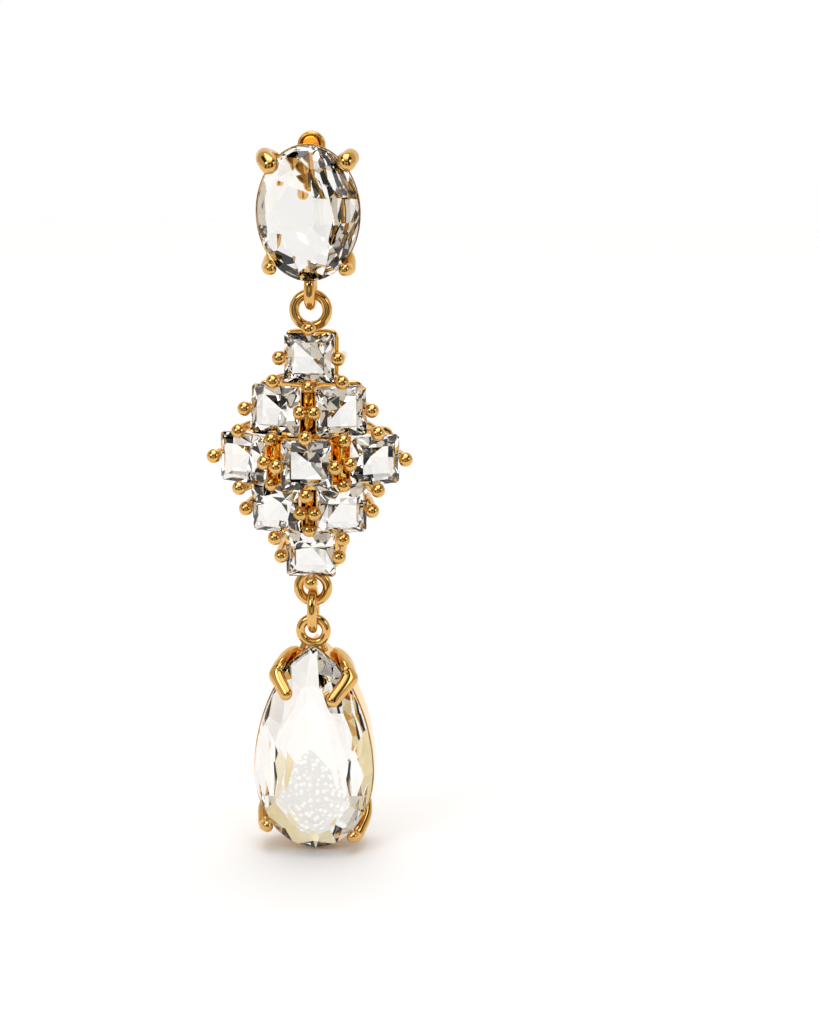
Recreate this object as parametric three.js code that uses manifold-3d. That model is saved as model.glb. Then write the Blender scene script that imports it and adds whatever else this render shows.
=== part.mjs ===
// A long drop earring of clear cut glass in gold plated settings, in millimetres.
// An oval stone sits at the ear. A raised diamond of nine square stones hangs from it by two
// interlocked loops, and a pear stone hangs from that by a jump ring.
// X runs across the earring, Y from its front to the back of the ear, and Z up.
// The origin is the underside of the ear hook's crown, where the pierced lobe carries the earring.
import * as THREE from "three";
import { mergeVertices } from "three/addons/utils/BufferGeometryUtils.js";
import Module from "manifold-3d";

const wasm = await Module();
wasm.setup();

// Clearances between separate pieces
const SEAT_GAP = 0.06; // between a stone and the metal that holds it
const LINK_GAP = 0.06; // between two loops that hang in each other
const PLATE_GAP = 0.06; // between the hook's plate and the back rim of the oval setting

// Ear hook
const HOOK_WIRE = 0.9;
const LOBE_ROOM = 5.0; // clear width between the plate and the rear leg
const HOOK_LEG = 1.8; // straight length of the rear leg
const HOOK_FLARE = 0.7; // how far the rear leg's end turns away from the ear
const PLATE_WIDTH = 2.3;
const PLATE_THICKNESS = 0.8;
const PLATE_RISE = 1.5; // the rounded top's height over the origin
const PLATE_LENGTH = 4.4;
const PLATE_BEVEL = 0.15;

// Oval stone
const OVAL_WIDTH = 8.4;
const OVAL_HEIGHT = 11.1;
const OVAL_CROWN = 1.35;
const OVAL_CROWN_TILT = 36; // degrees from the table's plane
const OVAL_PAVILION = 2.6;
const OVAL_BREAK_TILT = 45; // degrees, the pavilion's steep facets beside the girdle
const OVAL_MAIN_TILT = 27; // degrees, the pavilion's long facets that meet at the keel
const OVAL_GIRDLE = 0.3;
const OVAL_BELOW_PLATE = 0.65; // from the plate's top down to the stone's top

// Oval setting
const OVAL_WALL = 0.5;
const OVAL_WALL_PROUD = 0.12; // how far the wall stands outside the stone's edge
const OVAL_WALL_DEPTH = 2.8;
const OVAL_WALL_TAPER = 0.8; // how far the wall draws in from its front to its back
const OVAL_CLAW_ANGLE = 47.5; // degrees round the oval, from its widest line
const UPPER_CLAW_WIRE = 1.5;
const UPPER_CLAW_REACH = 0.1; // how far a claw's rounded tip stands inside the stone's edge
const LOWER_CLAW_WIRE = 1.08;
const LOWER_CLAW_REACH = 0.02;
const LOOP_WIRE = 0.92;
const LOOP_HEIGHT = 3.6;
const LOOP_WIDTH = 3.1;
const LOOP_DROP = 0.98; // from the oval stone's foot down to the middle of the loop

// Square stones
const SQUARE_SIDE = 4.12;
const SQUARE_CORNER = 0.16; // how much each corner is cut off, measured along the diagonal
const SQUARE_CROWN = 0.62;
const SQUARE_TABLE = 2.6;
const SQUARE_PAVILION = 2.2;
const SQUARE_BREAK_TILT = 55;
const SQUARE_MAIN_TILT = 39;
const SQUARE_GIRDLE = 0.24;

// Diamond of nine stones
const COLUMN_STEP = 2.74; // half the distance between two stones of one row
const ROW_STEP = 4.17;
const DOME_DEPTH = 3.0; // from the middle stone back to the top and bottom ones
const SIDE_LEAN = 24; // degrees that the outermost stones turn sideways
const END_LEAN = 8; // degrees that the top and bottom stones turn up or down
const PRONG_BALL = 1.15;
const PRONG_AHEAD = 0.6; // from the girdle's front edge to the middle of the ball
const PRONG_STEM = 0.8;
const PRONG_BEHIND_RAIL = 0.25; // how far a stem stands out of the rail's back
const RAIL_PROUD = 0.2; // how far a stone's back rail stands outside the stone's edge
const RAIL_WIDTH = 0.5;
const RAIL_DEPTH = 0.8;
const RAIL_BEHIND = 1.75; // from the middle of the girdle back to the rail
const WEB_THICKNESS = 0.7;

// Rings
const RING_WIRE = 0.84;
const TOP_RING_SIZE = 3.58;
const TOP_RING_TO_STONE = 3.7; // from the ring's middle down to the top square stone's middle
const BOTTOM_RING_SIZE = 3.28;
const BOTTOM_RING_TO_STONE = 3.4; // from the bottom square stone's middle down to the ring's middle
const HANG_BEHIND = 1.5; // from the top square stone's girdle back to the plane of the rings
const LINK_WIRE = 0.83;
const LINK_HEIGHT = 4.1;
const LINK_WIDTH = 3.4;
const PEAR_RING_WIRE = 0.8;
const PEAR_RING_SIZE = 2.97;

// Pear stone
const PEAR_WIDTH = 10.1;
const PEAR_HEIGHT = 18.1;
const PEAR_ROUND = 6.8; // from the widest line down to the foot
const PEAR_POINT_WIDTH = 3.9; // width where the straight edges of the point end
const PEAR_POINT_HEIGHT = 1.65; // height of the point above that
const PEAR_CROWN = 1.9;
const PEAR_CROWN_TILT = 37;
const PEAR_PAVILION = 3.0;
const PEAR_BREAK_TILT = 45;
const PEAR_MAIN_TILT = 26;
const PEAR_GIRDLE = 0.34;
const PEAR_BELOW_RING = 1.14; // from the ring's middle down to the stone's point
const PEAR_AHEAD = 0.7; // from the plane of the rings forward to the pear's girdle

// Pear setting
const PEAR_WALL = 0.5;
const PEAR_WALL_PROUD = 0.12;
const PEAR_WALL_DEPTH = 3.5;
const PEAR_WALL_TAPER = 0.15;
const PEAR_CLAW_WIRE = 1.15;
const PEAR_CLAW_REACH = 0.9;
const PEAR_LEFT_CLAW_DROP = 2.8; // from the stone's point down to where the claw crosses its edge
const PEAR_RIGHT_CLAW_DROP = 3.05;
const PEAR_FOOT_CLAW_WIRE = 1.05;
const PEAR_FOOT_CLAW_REACH = 0.1;
const PEAR_LEFT_FOOT_ANGLE = 221; // degrees round the foot, from the right end of the widest line
const PEAR_RIGHT_FOOT_ANGLE = 310;

// Fineness of the round shapes
const RING_STEPS = 16;
const RING_SIDES = 6;
const WIRE_SIDES = 8;
const STEM_SIDES = 6;
const PRONG_SIDES = 7;
const OVAL_STEPS = 28;
const PEAR_SIDE_STEPS = 9;
const PEAR_FOOT_STEPS = 16;
const CLAW_STEPS = 6;
const HOOK_STEPS = 28;

const GOLD = { color: 0xe6b04e, metalness: 1, roughness: 0.16 };
const CRYSTAL = { color: 0xf4f4f2, metalness: 0, roughness: 0.04 };

const radians = THREE.MathUtils.degToRad;
const vector = (x, y, z) => new THREE.Vector3(x, y, z);

// Depths, worked out from the back of the ear to the front
const plateBackY = -LOBE_ROOM / 2;
const ovalWallBackY = plateBackY - PLATE_THICKNESS - PLATE_GAP;
const ovalGirdleY = ovalWallBackY - OVAL_WALL_DEPTH - SEAT_GAP - OVAL_GIRDLE / 2;
const hangY = ovalWallBackY - OVAL_WALL_DEPTH / 2;
const pearGirdleY = hangY - PEAR_AHEAD;

// Heights, worked out from the ear hook down
const ovalCentreZ = PLATE_RISE - OVAL_BELOW_PLATE - OVAL_HEIGHT / 2;
const loopCentreZ = ovalCentreZ - OVAL_HEIGHT / 2 - LOOP_DROP;
const clusterPivotZ = loopCentreZ - (LOOP_HEIGHT - LOOP_WIRE) / 2;
const topRingZ = clusterPivotZ + hungBelow(LOOP_WIRE, RING_WIRE, TOP_RING_SIZE);
const clusterCentreZ = topRingZ - TOP_RING_TO_STONE - 2 * ROW_STEP;
const bottomRingZ = clusterCentreZ - 2 * ROW_STEP - BOTTOM_RING_TO_STONE;
const linkPivotZ = bottomRingZ - (BOTTOM_RING_SIZE - RING_WIRE) / 2;
const linkCentreZ = linkPivotZ + hungBelow(RING_WIRE, LINK_WIRE, LINK_HEIGHT);
const pearPivotZ = linkCentreZ - (LINK_HEIGHT - LINK_WIRE) / 2;
const pearRingZ = pearPivotZ + hungBelow(LINK_WIRE, PEAR_RING_WIRE, PEAR_RING_SIZE);
const pearPointZ = pearRingZ - PEAR_BELOW_RING;

// How far below the wire that carries it the middle of a hanging loop lies, as a negative height.
function hungBelow(carrierWire, wire, height) {
  return (carrierWire + wire) / 2 + LINK_GAP - (height - wire) / 2;
}

// Joining and cutting

// A closed three.js geometry as a solid that can be joined or cut.
function solidOf(geometry) {
  const source = geometry.index ? geometry.toNonIndexed() : geometry;
  const bare = new THREE.BufferGeometry();
  bare.setAttribute("position", source.getAttribute("position").clone());
  const merged = mergeVertices(bare, 1e-4);
  return new wasm.Manifold(
    new wasm.Mesh({
      numProp: 3,
      vertProperties: merged.attributes.position.array,
      triVerts: new Uint32Array(merged.index.array),
    }),
  );
}

function geometryOf(solid) {
  const mesh = solid.getMesh();
  const points = new Float32Array(mesh.numVert * 3);
  for (let i = 0; i < mesh.numVert; i++)
    points.set(mesh.vertProperties.subarray(i * mesh.numProp, i * mesh.numProp + 3), i * 3);
  const geometry = new THREE.BufferGeometry();
  geometry.setAttribute("position", new THREE.BufferAttribute(points, 3));
  geometry.setIndex(new THREE.BufferAttribute(new Uint32Array(mesh.triVerts), 1));
  geometry.computeVertexNormals();
  return geometry;
}

// Soldered metal: several closed geometries joined into one body.
function soldered(geometries) {
  return geometryOf(geometries.map(solidOf).reduce((whole, piece) => whole.add(piece)));
}

// Wire work

// A bar of round wire along a curve, with flat ends.
function wireAlong(curve, wire, steps, sides = WIRE_SIDES) {
  const section = new THREE.Shape();
  for (let i = 0; i < sides; i++) {
    const angle = (2 * Math.PI * i) / sides;
    const [x, y] = [(wire / 2) * Math.cos(angle), (wire / 2) * Math.sin(angle)];
    if (i === 0) section.moveTo(x, y);
    else section.lineTo(x, y);
  }
  return new THREE.ExtrudeGeometry(section, { steps, extrudePath: curve });
}

function ballAt(size, place, sides = WIRE_SIDES) {
  const ball = new THREE.SphereGeometry(size / 2, sides, sides - 2);
  return ball.translate(place.x, place.y, place.z);
}

// A closed ring of round wire that faces the front.
function ringFacingFront(size, wire) {
  return new THREE.TorusGeometry((size - wire) / 2, wire / 2, RING_SIDES, RING_STEPS).rotateX(Math.PI / 2);
}

// A closed loop of round wire that stands edge on to the front, taller than it is deep.
function loopEdgeOn(width, height, wire) {
  const rows = [];
  for (let i = 0; i < RING_STEPS; i++) {
    const turn = (2 * Math.PI * i) / RING_STEPS;
    const [c, s] = [Math.cos(turn), Math.sin(turn)];
    const middle = vector(0, ((width - wire) / 2) * c, ((height - wire) / 2) * s);
    const outward = vector(0, c / (width - wire), s / (height - wire)).normalize();
    const row = [];
    for (let k = 0; k < RING_SIDES; k++) {
      const angle = (2 * Math.PI * k) / RING_SIDES;
      const place = middle.clone().addScaledVector(outward, (wire / 2) * Math.cos(angle));
      row.push(place.add(vector((wire / 2) * Math.sin(angle), 0, 0)));
    }
    rows.push(row);
  }
  const points = [];
  rows.forEach((here, i) => {
    const next = rows[(i + 1) % RING_STEPS];
    here.forEach((corner, k) => {
      const other = (k + 1) % RING_SIDES;
      points.push(corner, next[k], next[other], corner, next[other], here[other]);
    });
  });
  return new THREE.BufferGeometry().setFromPoints(points);
}

// Edges of stones. Each point of an edge holds its place and the direction straight out of the stone,
// in the X and Z of the finished piece, and the points run against the clock seen from the front.

function ovalEdgeAt(angle) {
  const [halfWidth, halfHeight] = [OVAL_WIDTH / 2, OVAL_HEIGHT / 2];
  const out = new THREE.Vector2(Math.cos(angle) / halfWidth, Math.sin(angle) / halfHeight).normalize();
  return { at: new THREE.Vector2(halfWidth * Math.cos(angle), halfHeight * Math.sin(angle)), out };
}

function ovalEdge() {
  return Array.from({ length: OVAL_STEPS }, (_, i) => ovalEdgeAt((2 * Math.PI * i) / OVAL_STEPS));
}

// A pear has two straight edges at its point, an arc down each side, and half an ellipse at its foot.
// Its heights are measured from its widest line.
const pearTopHeight = PEAR_HEIGHT - PEAR_ROUND;
const pearArcHeight = pearTopHeight - PEAR_POINT_HEIGHT;
const pearArcInset = (PEAR_WIDTH - PEAR_POINT_WIDTH) / 2;
const pearArcRadius = (pearArcHeight ** 2 + pearArcInset ** 2) / (2 * pearArcInset);

function pearSideAt(height) {
  const angle = Math.asin(height / pearArcRadius);
  const out = new THREE.Vector2(Math.cos(angle), Math.sin(angle));
  const middle = new THREE.Vector2(PEAR_WIDTH / 2 - pearArcRadius, 0);
  return { at: middle.addScaledVector(out, pearArcRadius), out };
}

function pearFootAt(angle) {
  const halfWidth = PEAR_WIDTH / 2;
  const out = new THREE.Vector2(Math.cos(angle) / halfWidth, Math.sin(angle) / PEAR_ROUND).normalize();
  return { at: new THREE.Vector2(halfWidth * Math.cos(angle), PEAR_ROUND * Math.sin(angle)), out };
}

function mirrored({ at, out }) {
  return { at: new THREE.Vector2(-at.x, at.y), out: new THREE.Vector2(-out.x, out.y) };
}

function pearEdge() {
  const right = [];
  for (let i = 0; i <= PEAR_SIDE_STEPS; i++) right.push(pearSideAt((pearArcHeight * i) / PEAR_SIDE_STEPS));
  // Out of the point, far enough that a wall keeps its thickness where its two straight runs meet
  const pointMitre = Math.hypot(PEAR_POINT_WIDTH / 2, PEAR_POINT_HEIGHT) / (PEAR_POINT_WIDTH / 2);
  const point = { at: new THREE.Vector2(0, pearTopHeight), out: new THREE.Vector2(0, pointMitre) };
  const foot = [];
  for (let i = 1; i < PEAR_FOOT_STEPS; i++) foot.push(pearFootAt(Math.PI * (1 + i / PEAR_FOOT_STEPS)));
  return [...right, point, ...right.map(mirrored).reverse(), ...foot];
}

// Settings

// A wall round a stone. Its rim carries the stone on a slope that follows the pavilion, and it draws
// in towards its back.
function wallRound(edge, { girdle, breakTilt, proud, wall, depth, taper }) {
  const inside = wall - proud;
  const slope = Math.tan(radians(breakTilt));
  const clear = girdle / 2 + SEAT_GAP;
  const sloped = girdle / 2 + SEAT_GAP / Math.cos(radians(breakTilt));
  const profile = [
    { outside: proud, behind: clear },
    { outside: proud - taper, behind: clear + depth },
    { outside: -inside - taper, behind: clear + depth },
    { outside: -inside, behind: sloped + inside * slope },
    { outside: 0, behind: sloped },
  ];
  const rows = profile.map(({ outside, behind }) =>
    edge.map(({ at, out }) => vector(at.x + out.x * outside, behind, at.y + out.y * outside)),
  );
  const points = [];
  rows.forEach((here, r) => {
    const next = rows[(r + 1) % rows.length];
    here.forEach((corner, i) => {
      const other = (i + 1) % here.length;
      points.push(corner, next[i], next[other], corner, next[other], here[other]);
    });
  });
  return new THREE.BufferGeometry().setFromPoints(points);
}

// A claw that rises outside a wall, turns over the stone's edge and ends in a rounded tip. The tip
// stands as far inside the edge as it reaches, and as high as the crown's slope asks for.
function clawOver({ at, out }, { girdle, crownTilt, proud, depth, taper, wire, reach }) {
  const tilt = radians(crownTilt);
  const clear = wire / 2 + 2 * SEAT_GAP;
  const rise = (clear + reach * Math.sin(tilt)) / Math.cos(tilt);
  const steps = [
    { outside: proud - taper - wire / 6, ahead: -depth + wire / 2 },
    { outside: clear, ahead: -girdle },
    { outside: clear, ahead: girdle / 2 },
    { outside: clear * Math.cos(radians(48)), ahead: girdle / 2 + clear * Math.sin(radians(48)) },
    { outside: -reach, ahead: girdle / 2 + rise },
  ];
  const places = steps.map(({ outside, ahead }) =>
    vector(at.x + out.x * outside, -ahead, at.y + out.y * outside),
  );
  const route = new THREE.CatmullRomCurve3(places, false, "centripetal");
  return [wireAlong(route, wire, CLAW_STEPS), ballAt(wire * 1.03, places[4])];
}

// Stone cutting

// Cuts a blank with flat facets, as a lapidary's wheel does. Each facet has the direction that it
// faces across the stone, its tilt from the table's plane, and a point that its plane goes through.
// The table faces the front, and a facet of the pavilion faces the back.
function cutStone(blank, facets) {
  const reach = 4 * (PEAR_HEIGHT + OVAL_HEIGHT);
  let stone = solidOf(blank);
  for (const { across, tilt, pavilion, through } of facets) {
    const flat = Math.sin(radians(tilt));
    const toFront = Math.cos(radians(tilt)) * (pavilion ? 1 : -1);
    const normal = vector(flat * Math.cos(radians(across)), toFront, flat * Math.sin(radians(across)));
    const block = new THREE.BoxGeometry(reach, reach, reach);
    block.applyQuaternion(new THREE.Quaternion().setFromUnitVectors(vector(0, 0, 1), normal));
    const place = through.clone().addScaledVector(normal, reach / 2);
    block.translate(place.x, place.y, place.z);
    stone = stone.subtract(solidOf(block));
  }
  return geometryOf(stone);
}

// The slab that a stone is cut from: its outline, as thick as the whole stone.
function stoneBlank(outline, crown, girdle, pavilion) {
  const depth = crown + girdle + pavilion;
  const slab = new THREE.ExtrudeGeometry(new THREE.Shape(outline), { depth, bevelEnabled: false });
  return slab.rotateX(Math.PI / 2).translate(0, girdle / 2 + pavilion, 0);
}

// The point of a convex outline that lies furthest out in a direction.
function furthest(outline, across) {
  const [dx, dy] = [Math.cos(radians(across)), Math.sin(radians(across))];
  return outline.reduce((best, p) => (p.x * dx + p.y * dy > best.x * dx + best.y * dy ? p : best));
}

// A brilliant cut on an oval or a pear. Each side of the outline has a crown facet in front of the
// girdle and a steep facet behind it. A row of shallower facets lies round the table, and long ones
// run to the keel.
function brilliant(edge, { width, crown, crownTilt, girdle, pavilion, breakTilt, mainTilt, mains }) {
  const outline = edge.map(({ at }) => at);
  const facets = [];
  outline.forEach((start, i) => {
    const end = outline[(i + 1) % outline.length];
    const across = THREE.MathUtils.radToDeg(Math.atan2(start.x - end.x, end.y - start.y));
    const front = vector(start.x, -girdle / 2, start.y);
    const back = vector(start.x, girdle / 2, start.y);
    facets.push({ across, tilt: crownTilt, pavilion: false, through: front });
    facets.push({ across, tilt: breakTilt, pavilion: true, through: back });
  });
  const tableInset = crown / Math.tan(radians(crownTilt));
  for (let i = 0; i < mains; i++) {
    const across = ((i + 0.5) * 360) / mains;
    const rim = furthest(outline, across);
    const inward = (inset, y) =>
      vector(rim.x - inset * Math.cos(radians(across)), y, rim.y - inset * Math.sin(radians(across)));
    const tableEdge = inward(tableInset * 1.22, -girdle / 2 - crown);
    facets.push({ across, tilt: crownTilt * 0.62, pavilion: false, through: tableEdge });
    const keel = inward(width / 2, girdle / 2 + pavilion);
    facets.push({ across, tilt: mainTilt, pavilion: true, through: keel });
  }
  return cutStone(stoneBlank(outline, crown, girdle, pavilion), facets);
}

// A square stone with cut corners. Behind its girdle, pairs of turned facets meet at the culet.
function squareStone() {
  const half = SQUARE_SIDE / 2;
  const corner = SQUARE_CORNER * Math.SQRT2;
  const crownTilt = squareCrownTilt();
  const outline = [
    [half, -half + corner],
    [half, half - corner],
    [half - corner, half],
    [-half + corner, half],
    [-half, half - corner],
    [-half, -half + corner],
    [-half + corner, -half],
    [half - corner, -half],
  ].map(([x, y]) => new THREE.Vector2(x, y));
  const facets = [];
  for (let side = 0; side < 4; side++) {
    const across = 90 * side;
    const [c, s] = [Math.cos(radians(across)), Math.sin(radians(across))];
    const front = vector(half * c, -SQUARE_GIRDLE / 2, half * s);
    const back = vector(half * c, SQUARE_GIRDLE / 2, half * s);
    facets.push({ across, tilt: crownTilt, pavilion: false, through: front });
    facets.push({ across, tilt: SQUARE_BREAK_TILT, pavilion: true, through: back });
    const diagonal = across + 45;
    const cut = furthest(outline, diagonal - 1);
    const cornerFront = vector(cut.x, -SQUARE_GIRDLE / 2, cut.y);
    facets.push({ across: diagonal, tilt: crownTilt, pavilion: false, through: cornerFront });
    const tableReach = (SQUARE_TABLE / 2) * 0.88;
    const [dc, ds] = [Math.cos(radians(diagonal)), Math.sin(radians(diagonal))];
    const tableCorner = vector(
      tableReach * Math.SQRT2 * dc,
      -SQUARE_GIRDLE / 2 - SQUARE_CROWN,
      tableReach * Math.SQRT2 * ds,
    );
    facets.push({ across: diagonal, tilt: crownTilt * 0.6, pavilion: false, through: tableCorner });
    const culet = vector(0, SQUARE_GIRDLE / 2 + SQUARE_PAVILION, 0);
    for (const turn of [-20, 20])
      facets.push({ across: across + turn, tilt: SQUARE_MAIN_TILT, pavilion: true, through: culet });
  }
  return cutStone(stoneBlank(outline, SQUARE_CROWN, SQUARE_GIRDLE, SQUARE_PAVILION), facets);
}

function squareCrownTilt() {
  return THREE.MathUtils.radToDeg(Math.atan2(SQUARE_CROWN, (SQUARE_SIDE - SQUARE_TABLE) / 2));
}

// The diamond of nine stones

// Each stone's column and row, and its shares of the dome's depth, of the sideways lean and of the
// lean up or down. A stone of the middle row leans sideways only.
const diamond = [
  { name: "square_stone_1", column: 0, row: 2, back: 1, side: 0, end: 1 },
  { name: "square_stone_2", column: -1, row: 1, back: 0.62, side: -0.62, end: 0.85 },
  { name: "square_stone_3", column: 1, row: 1, back: 0.62, side: 0.62, end: 0.85 },
  { name: "square_stone_4", column: -2, row: 0, back: 0.72, side: -1, end: 0 },
  { name: "square_stone_5", column: 0, row: 0, back: 0, side: 0, end: 0 },
  { name: "square_stone_6", column: 2, row: 0, back: 0.72, side: 1, end: 0 },
  { name: "square_stone_7", column: -1, row: -1, back: 0.62, side: -0.62, end: -0.85 },
  { name: "square_stone_8", column: 1, row: -1, back: 0.62, side: 0.62, end: -0.85 },
  { name: "square_stone_9", column: 0, row: -2, back: 1, side: 0, end: -1 },
];

// Where a stone of the diamond stands, as the matrix from its own frame to the earring's.
function standing({ column, row, back, side, end }) {
  const lean = new THREE.Matrix4().makeRotationX(-radians(end * END_LEAN));
  const turn = new THREE.Matrix4().makeRotationZ(radians(side * SIDE_LEAN));
  const y = hangY - HANG_BEHIND - DOME_DEPTH * (1 - back);
  const place = new THREE.Matrix4().makeTranslation(
    column * COLUMN_STEP,
    y,
    clusterCentreZ + row * ROW_STEP,
  );
  return place.multiply(turn).multiply(lean);
}

// One prong at the middle of a stone's side: a stem that rises beside the girdle, and a ball that
// rests on the crown's slope.
function prong(across) {
  const tilt = radians(squareCrownTilt());
  const radius = PRONG_BALL / 2 + SEAT_GAP;
  const ballOut = SQUARE_SIDE / 2 + (radius - PRONG_AHEAD * Math.cos(tilt)) / Math.sin(tilt);
  const stemOut = SQUARE_SIDE / 2 + SEAT_GAP + PRONG_STEM / 2;
  const back = RAIL_BEHIND + RAIL_DEPTH + PRONG_BEHIND_RAIL;
  const [c, s] = [Math.cos(radians(across)), Math.sin(radians(across))];
  const ball = vector(ballOut * c, -SQUARE_GIRDLE / 2 - PRONG_AHEAD, ballOut * s);
  const route = new THREE.CatmullRomCurve3([
    vector(stemOut * c, back, stemOut * s),
    vector(stemOut * c, 0, stemOut * s),
    ball,
  ]);
  return [wireAlong(route, PRONG_STEM, 3, STEM_SIDES), ballAt(PRONG_BALL, ball, PRONG_SIDES)];
}

// The square rail behind a stone, which ties its four stems together.
const railHalf = SQUARE_SIDE / 2 + RAIL_PROUD;
function rail() {
  const square = (half, Kind) => {
    const corners = [
      [-half, -half],
      [half, -half],
      [half, half],
      [-half, half],
    ];
    return new Kind(corners.map(([x, y]) => new THREE.Vector2(x, y)));
  };
  const frame = square(railHalf, THREE.Shape);
  frame.holes.push(square(railHalf - RAIL_WIDTH, THREE.Path));
  const bar = new THREE.ExtrudeGeometry(frame, { depth: RAIL_DEPTH, bevelEnabled: false });
  return bar.rotateX(Math.PI / 2).translate(0, RAIL_BEHIND + RAIL_DEPTH, 0);
}

// A plate that closes the gap between two stones of a row. It ties their rails to each other and to
// the stems of the rows above and below.
function webBetween(left, right) {
  const railMiddle = RAIL_BEHIND + RAIL_DEPTH / 2;
  const start = vector(railHalf - RAIL_WIDTH / 2, railMiddle, 0).applyMatrix4(standing(left));
  const end = vector(RAIL_WIDTH / 2 - railHalf, railMiddle, 0).applyMatrix4(standing(right));
  const run = end.clone().sub(start);
  const plate = new THREE.BoxGeometry(Math.hypot(run.x, run.y) + RAIL_WIDTH / 2, WEB_THICKNESS, ROW_STEP);
  plate.rotateZ(Math.atan2(run.y, run.x));
  const middle = start.add(end).multiplyScalar(0.5);
  return plate.translate(middle.x, middle.y, clusterCentreZ + left.row * ROW_STEP);
}

// Nodes

const root = new THREE.Group();

function addNode(name, geometry, finish) {
  const mesh = new THREE.Mesh(geometry, new THREE.MeshStandardMaterial(finish));
  mesh.name = name;
  root.add(mesh);
}

function placed(geometries, y, z) {
  return geometries.map((geometry) => geometry.translate(0, y, z));
}

// Ear hook: a rounded plate behind the oval stone, and a wire over the lobe
function earHook() {
  const half = PLATE_WIDTH / 2;
  const straightTop = PLATE_RISE - half;
  const plateShape = new THREE.Shape();
  plateShape.moveTo(-half + PLATE_BEVEL, PLATE_RISE - PLATE_LENGTH + PLATE_BEVEL);
  plateShape.lineTo(half - PLATE_BEVEL, PLATE_RISE - PLATE_LENGTH + PLATE_BEVEL);
  plateShape.lineTo(half - PLATE_BEVEL, straightTop);
  plateShape.absarc(0, straightTop, half - PLATE_BEVEL, 0, Math.PI, false);
  const plate = new THREE.ExtrudeGeometry(plateShape, {
    depth: PLATE_THICKNESS - 2 * PLATE_BEVEL,
    bevelThickness: PLATE_BEVEL,
    bevelSize: PLATE_BEVEL,
    bevelSegments: 1,
    curveSegments: 10,
  });
  plate.rotateX(Math.PI / 2).translate(0, plateBackY - PLATE_BEVEL, 0);

  const crown = (LOBE_ROOM + HOOK_WIRE) / 2;
  const crownZ = HOOK_WIRE / 2 - crown;
  const legTop = crownZ;
  const legFoot = legTop - HOOK_LEG;
  const route = new THREE.CatmullRomCurve3(
    [
      vector(0, -crown, crownZ - HOOK_WIRE),
      vector(0, -crown, crownZ),
      ...[150, 120, 90, 60, 30].map((angle) =>
        vector(0, crown * Math.cos(radians(angle)), crownZ + crown * Math.sin(radians(angle))),
      ),
      vector(0, crown, legTop),
      vector(0, crown, legFoot + HOOK_WIRE),
      vector(0, crown + HOOK_FLARE, legFoot - HOOK_FLARE),
    ],
    false,
    "centripetal",
  );
  return [plate, wireAlong(route, HOOK_WIRE, HOOK_STEPS), ballAt(HOOK_WIRE, route.getPoint(1))];
}
addNode("ear_hook", soldered(earHook()), GOLD);

// Oval stone and its setting
const ovalCut = {
  width: OVAL_WIDTH,
  crown: OVAL_CROWN,
  crownTilt: OVAL_CROWN_TILT,
  girdle: OVAL_GIRDLE,
  pavilion: OVAL_PAVILION,
  breakTilt: OVAL_BREAK_TILT,
  mainTilt: OVAL_MAIN_TILT,
  mains: 8,
};
const ovalSeat = {
  girdle: OVAL_GIRDLE,
  breakTilt: OVAL_BREAK_TILT,
  crownTilt: OVAL_CROWN_TILT,
  proud: OVAL_WALL_PROUD,
  wall: OVAL_WALL,
  depth: OVAL_WALL_DEPTH,
  taper: OVAL_WALL_TAPER,
};
const upperClaw = { ...ovalSeat, wire: UPPER_CLAW_WIRE, reach: UPPER_CLAW_REACH };
const lowerClaw = { ...ovalSeat, wire: LOWER_CLAW_WIRE, reach: LOWER_CLAW_REACH };
const clawAngle = radians(OVAL_CLAW_ANGLE);
const ovalLoop = loopEdgeOn(LOOP_WIDTH, LOOP_HEIGHT, LOOP_WIRE);
addNode(
  "oval_setting",
  soldered([
    ...placed(
      [
        wallRound(ovalEdge(), ovalSeat),
        ...clawOver(ovalEdgeAt(clawAngle), upperClaw),
        ...clawOver(ovalEdgeAt(Math.PI - clawAngle), upperClaw),
        ...clawOver(ovalEdgeAt(-clawAngle), lowerClaw),
        ...clawOver(ovalEdgeAt(clawAngle - Math.PI), lowerClaw),
      ],
      ovalGirdleY,
      ovalCentreZ,
    ),
    ...placed([ovalLoop], hangY, loopCentreZ),
  ]),
  GOLD,
);
addNode("oval_stone", brilliant(ovalEdge(), ovalCut).translate(0, ovalGirdleY, ovalCentreZ), CRYSTAL);

// Diamond of nine square stones and the frame that holds them
const frameParts = [];
for (const stone of diamond) {
  const local = [rail(), ...[0, 90, 180, 270].flatMap(prong)];
  frameParts.push(...local.map((geometry) => geometry.applyMatrix4(standing(stone))));
}
for (const left of diamond) {
  const right = diamond.find(({ row, column }) => row === left.row && column === left.column + 2);
  if (right) frameParts.push(webBetween(left, right));
}
frameParts.push(...placed([ringFacingFront(TOP_RING_SIZE, RING_WIRE)], hangY, topRingZ));
frameParts.push(...placed([ringFacingFront(BOTTOM_RING_SIZE, RING_WIRE)], hangY, bottomRingZ));
addNode("cluster_frame", soldered(frameParts), GOLD);
for (const stone of diamond) addNode(stone.name, squareStone().applyMatrix4(standing(stone)), CRYSTAL);

// Jump ring between the diamond and the pear
addNode("jump_ring", placed([loopEdgeOn(LINK_WIDTH, LINK_HEIGHT, LINK_WIRE)], hangY, linkCentreZ)[0], GOLD);

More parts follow.
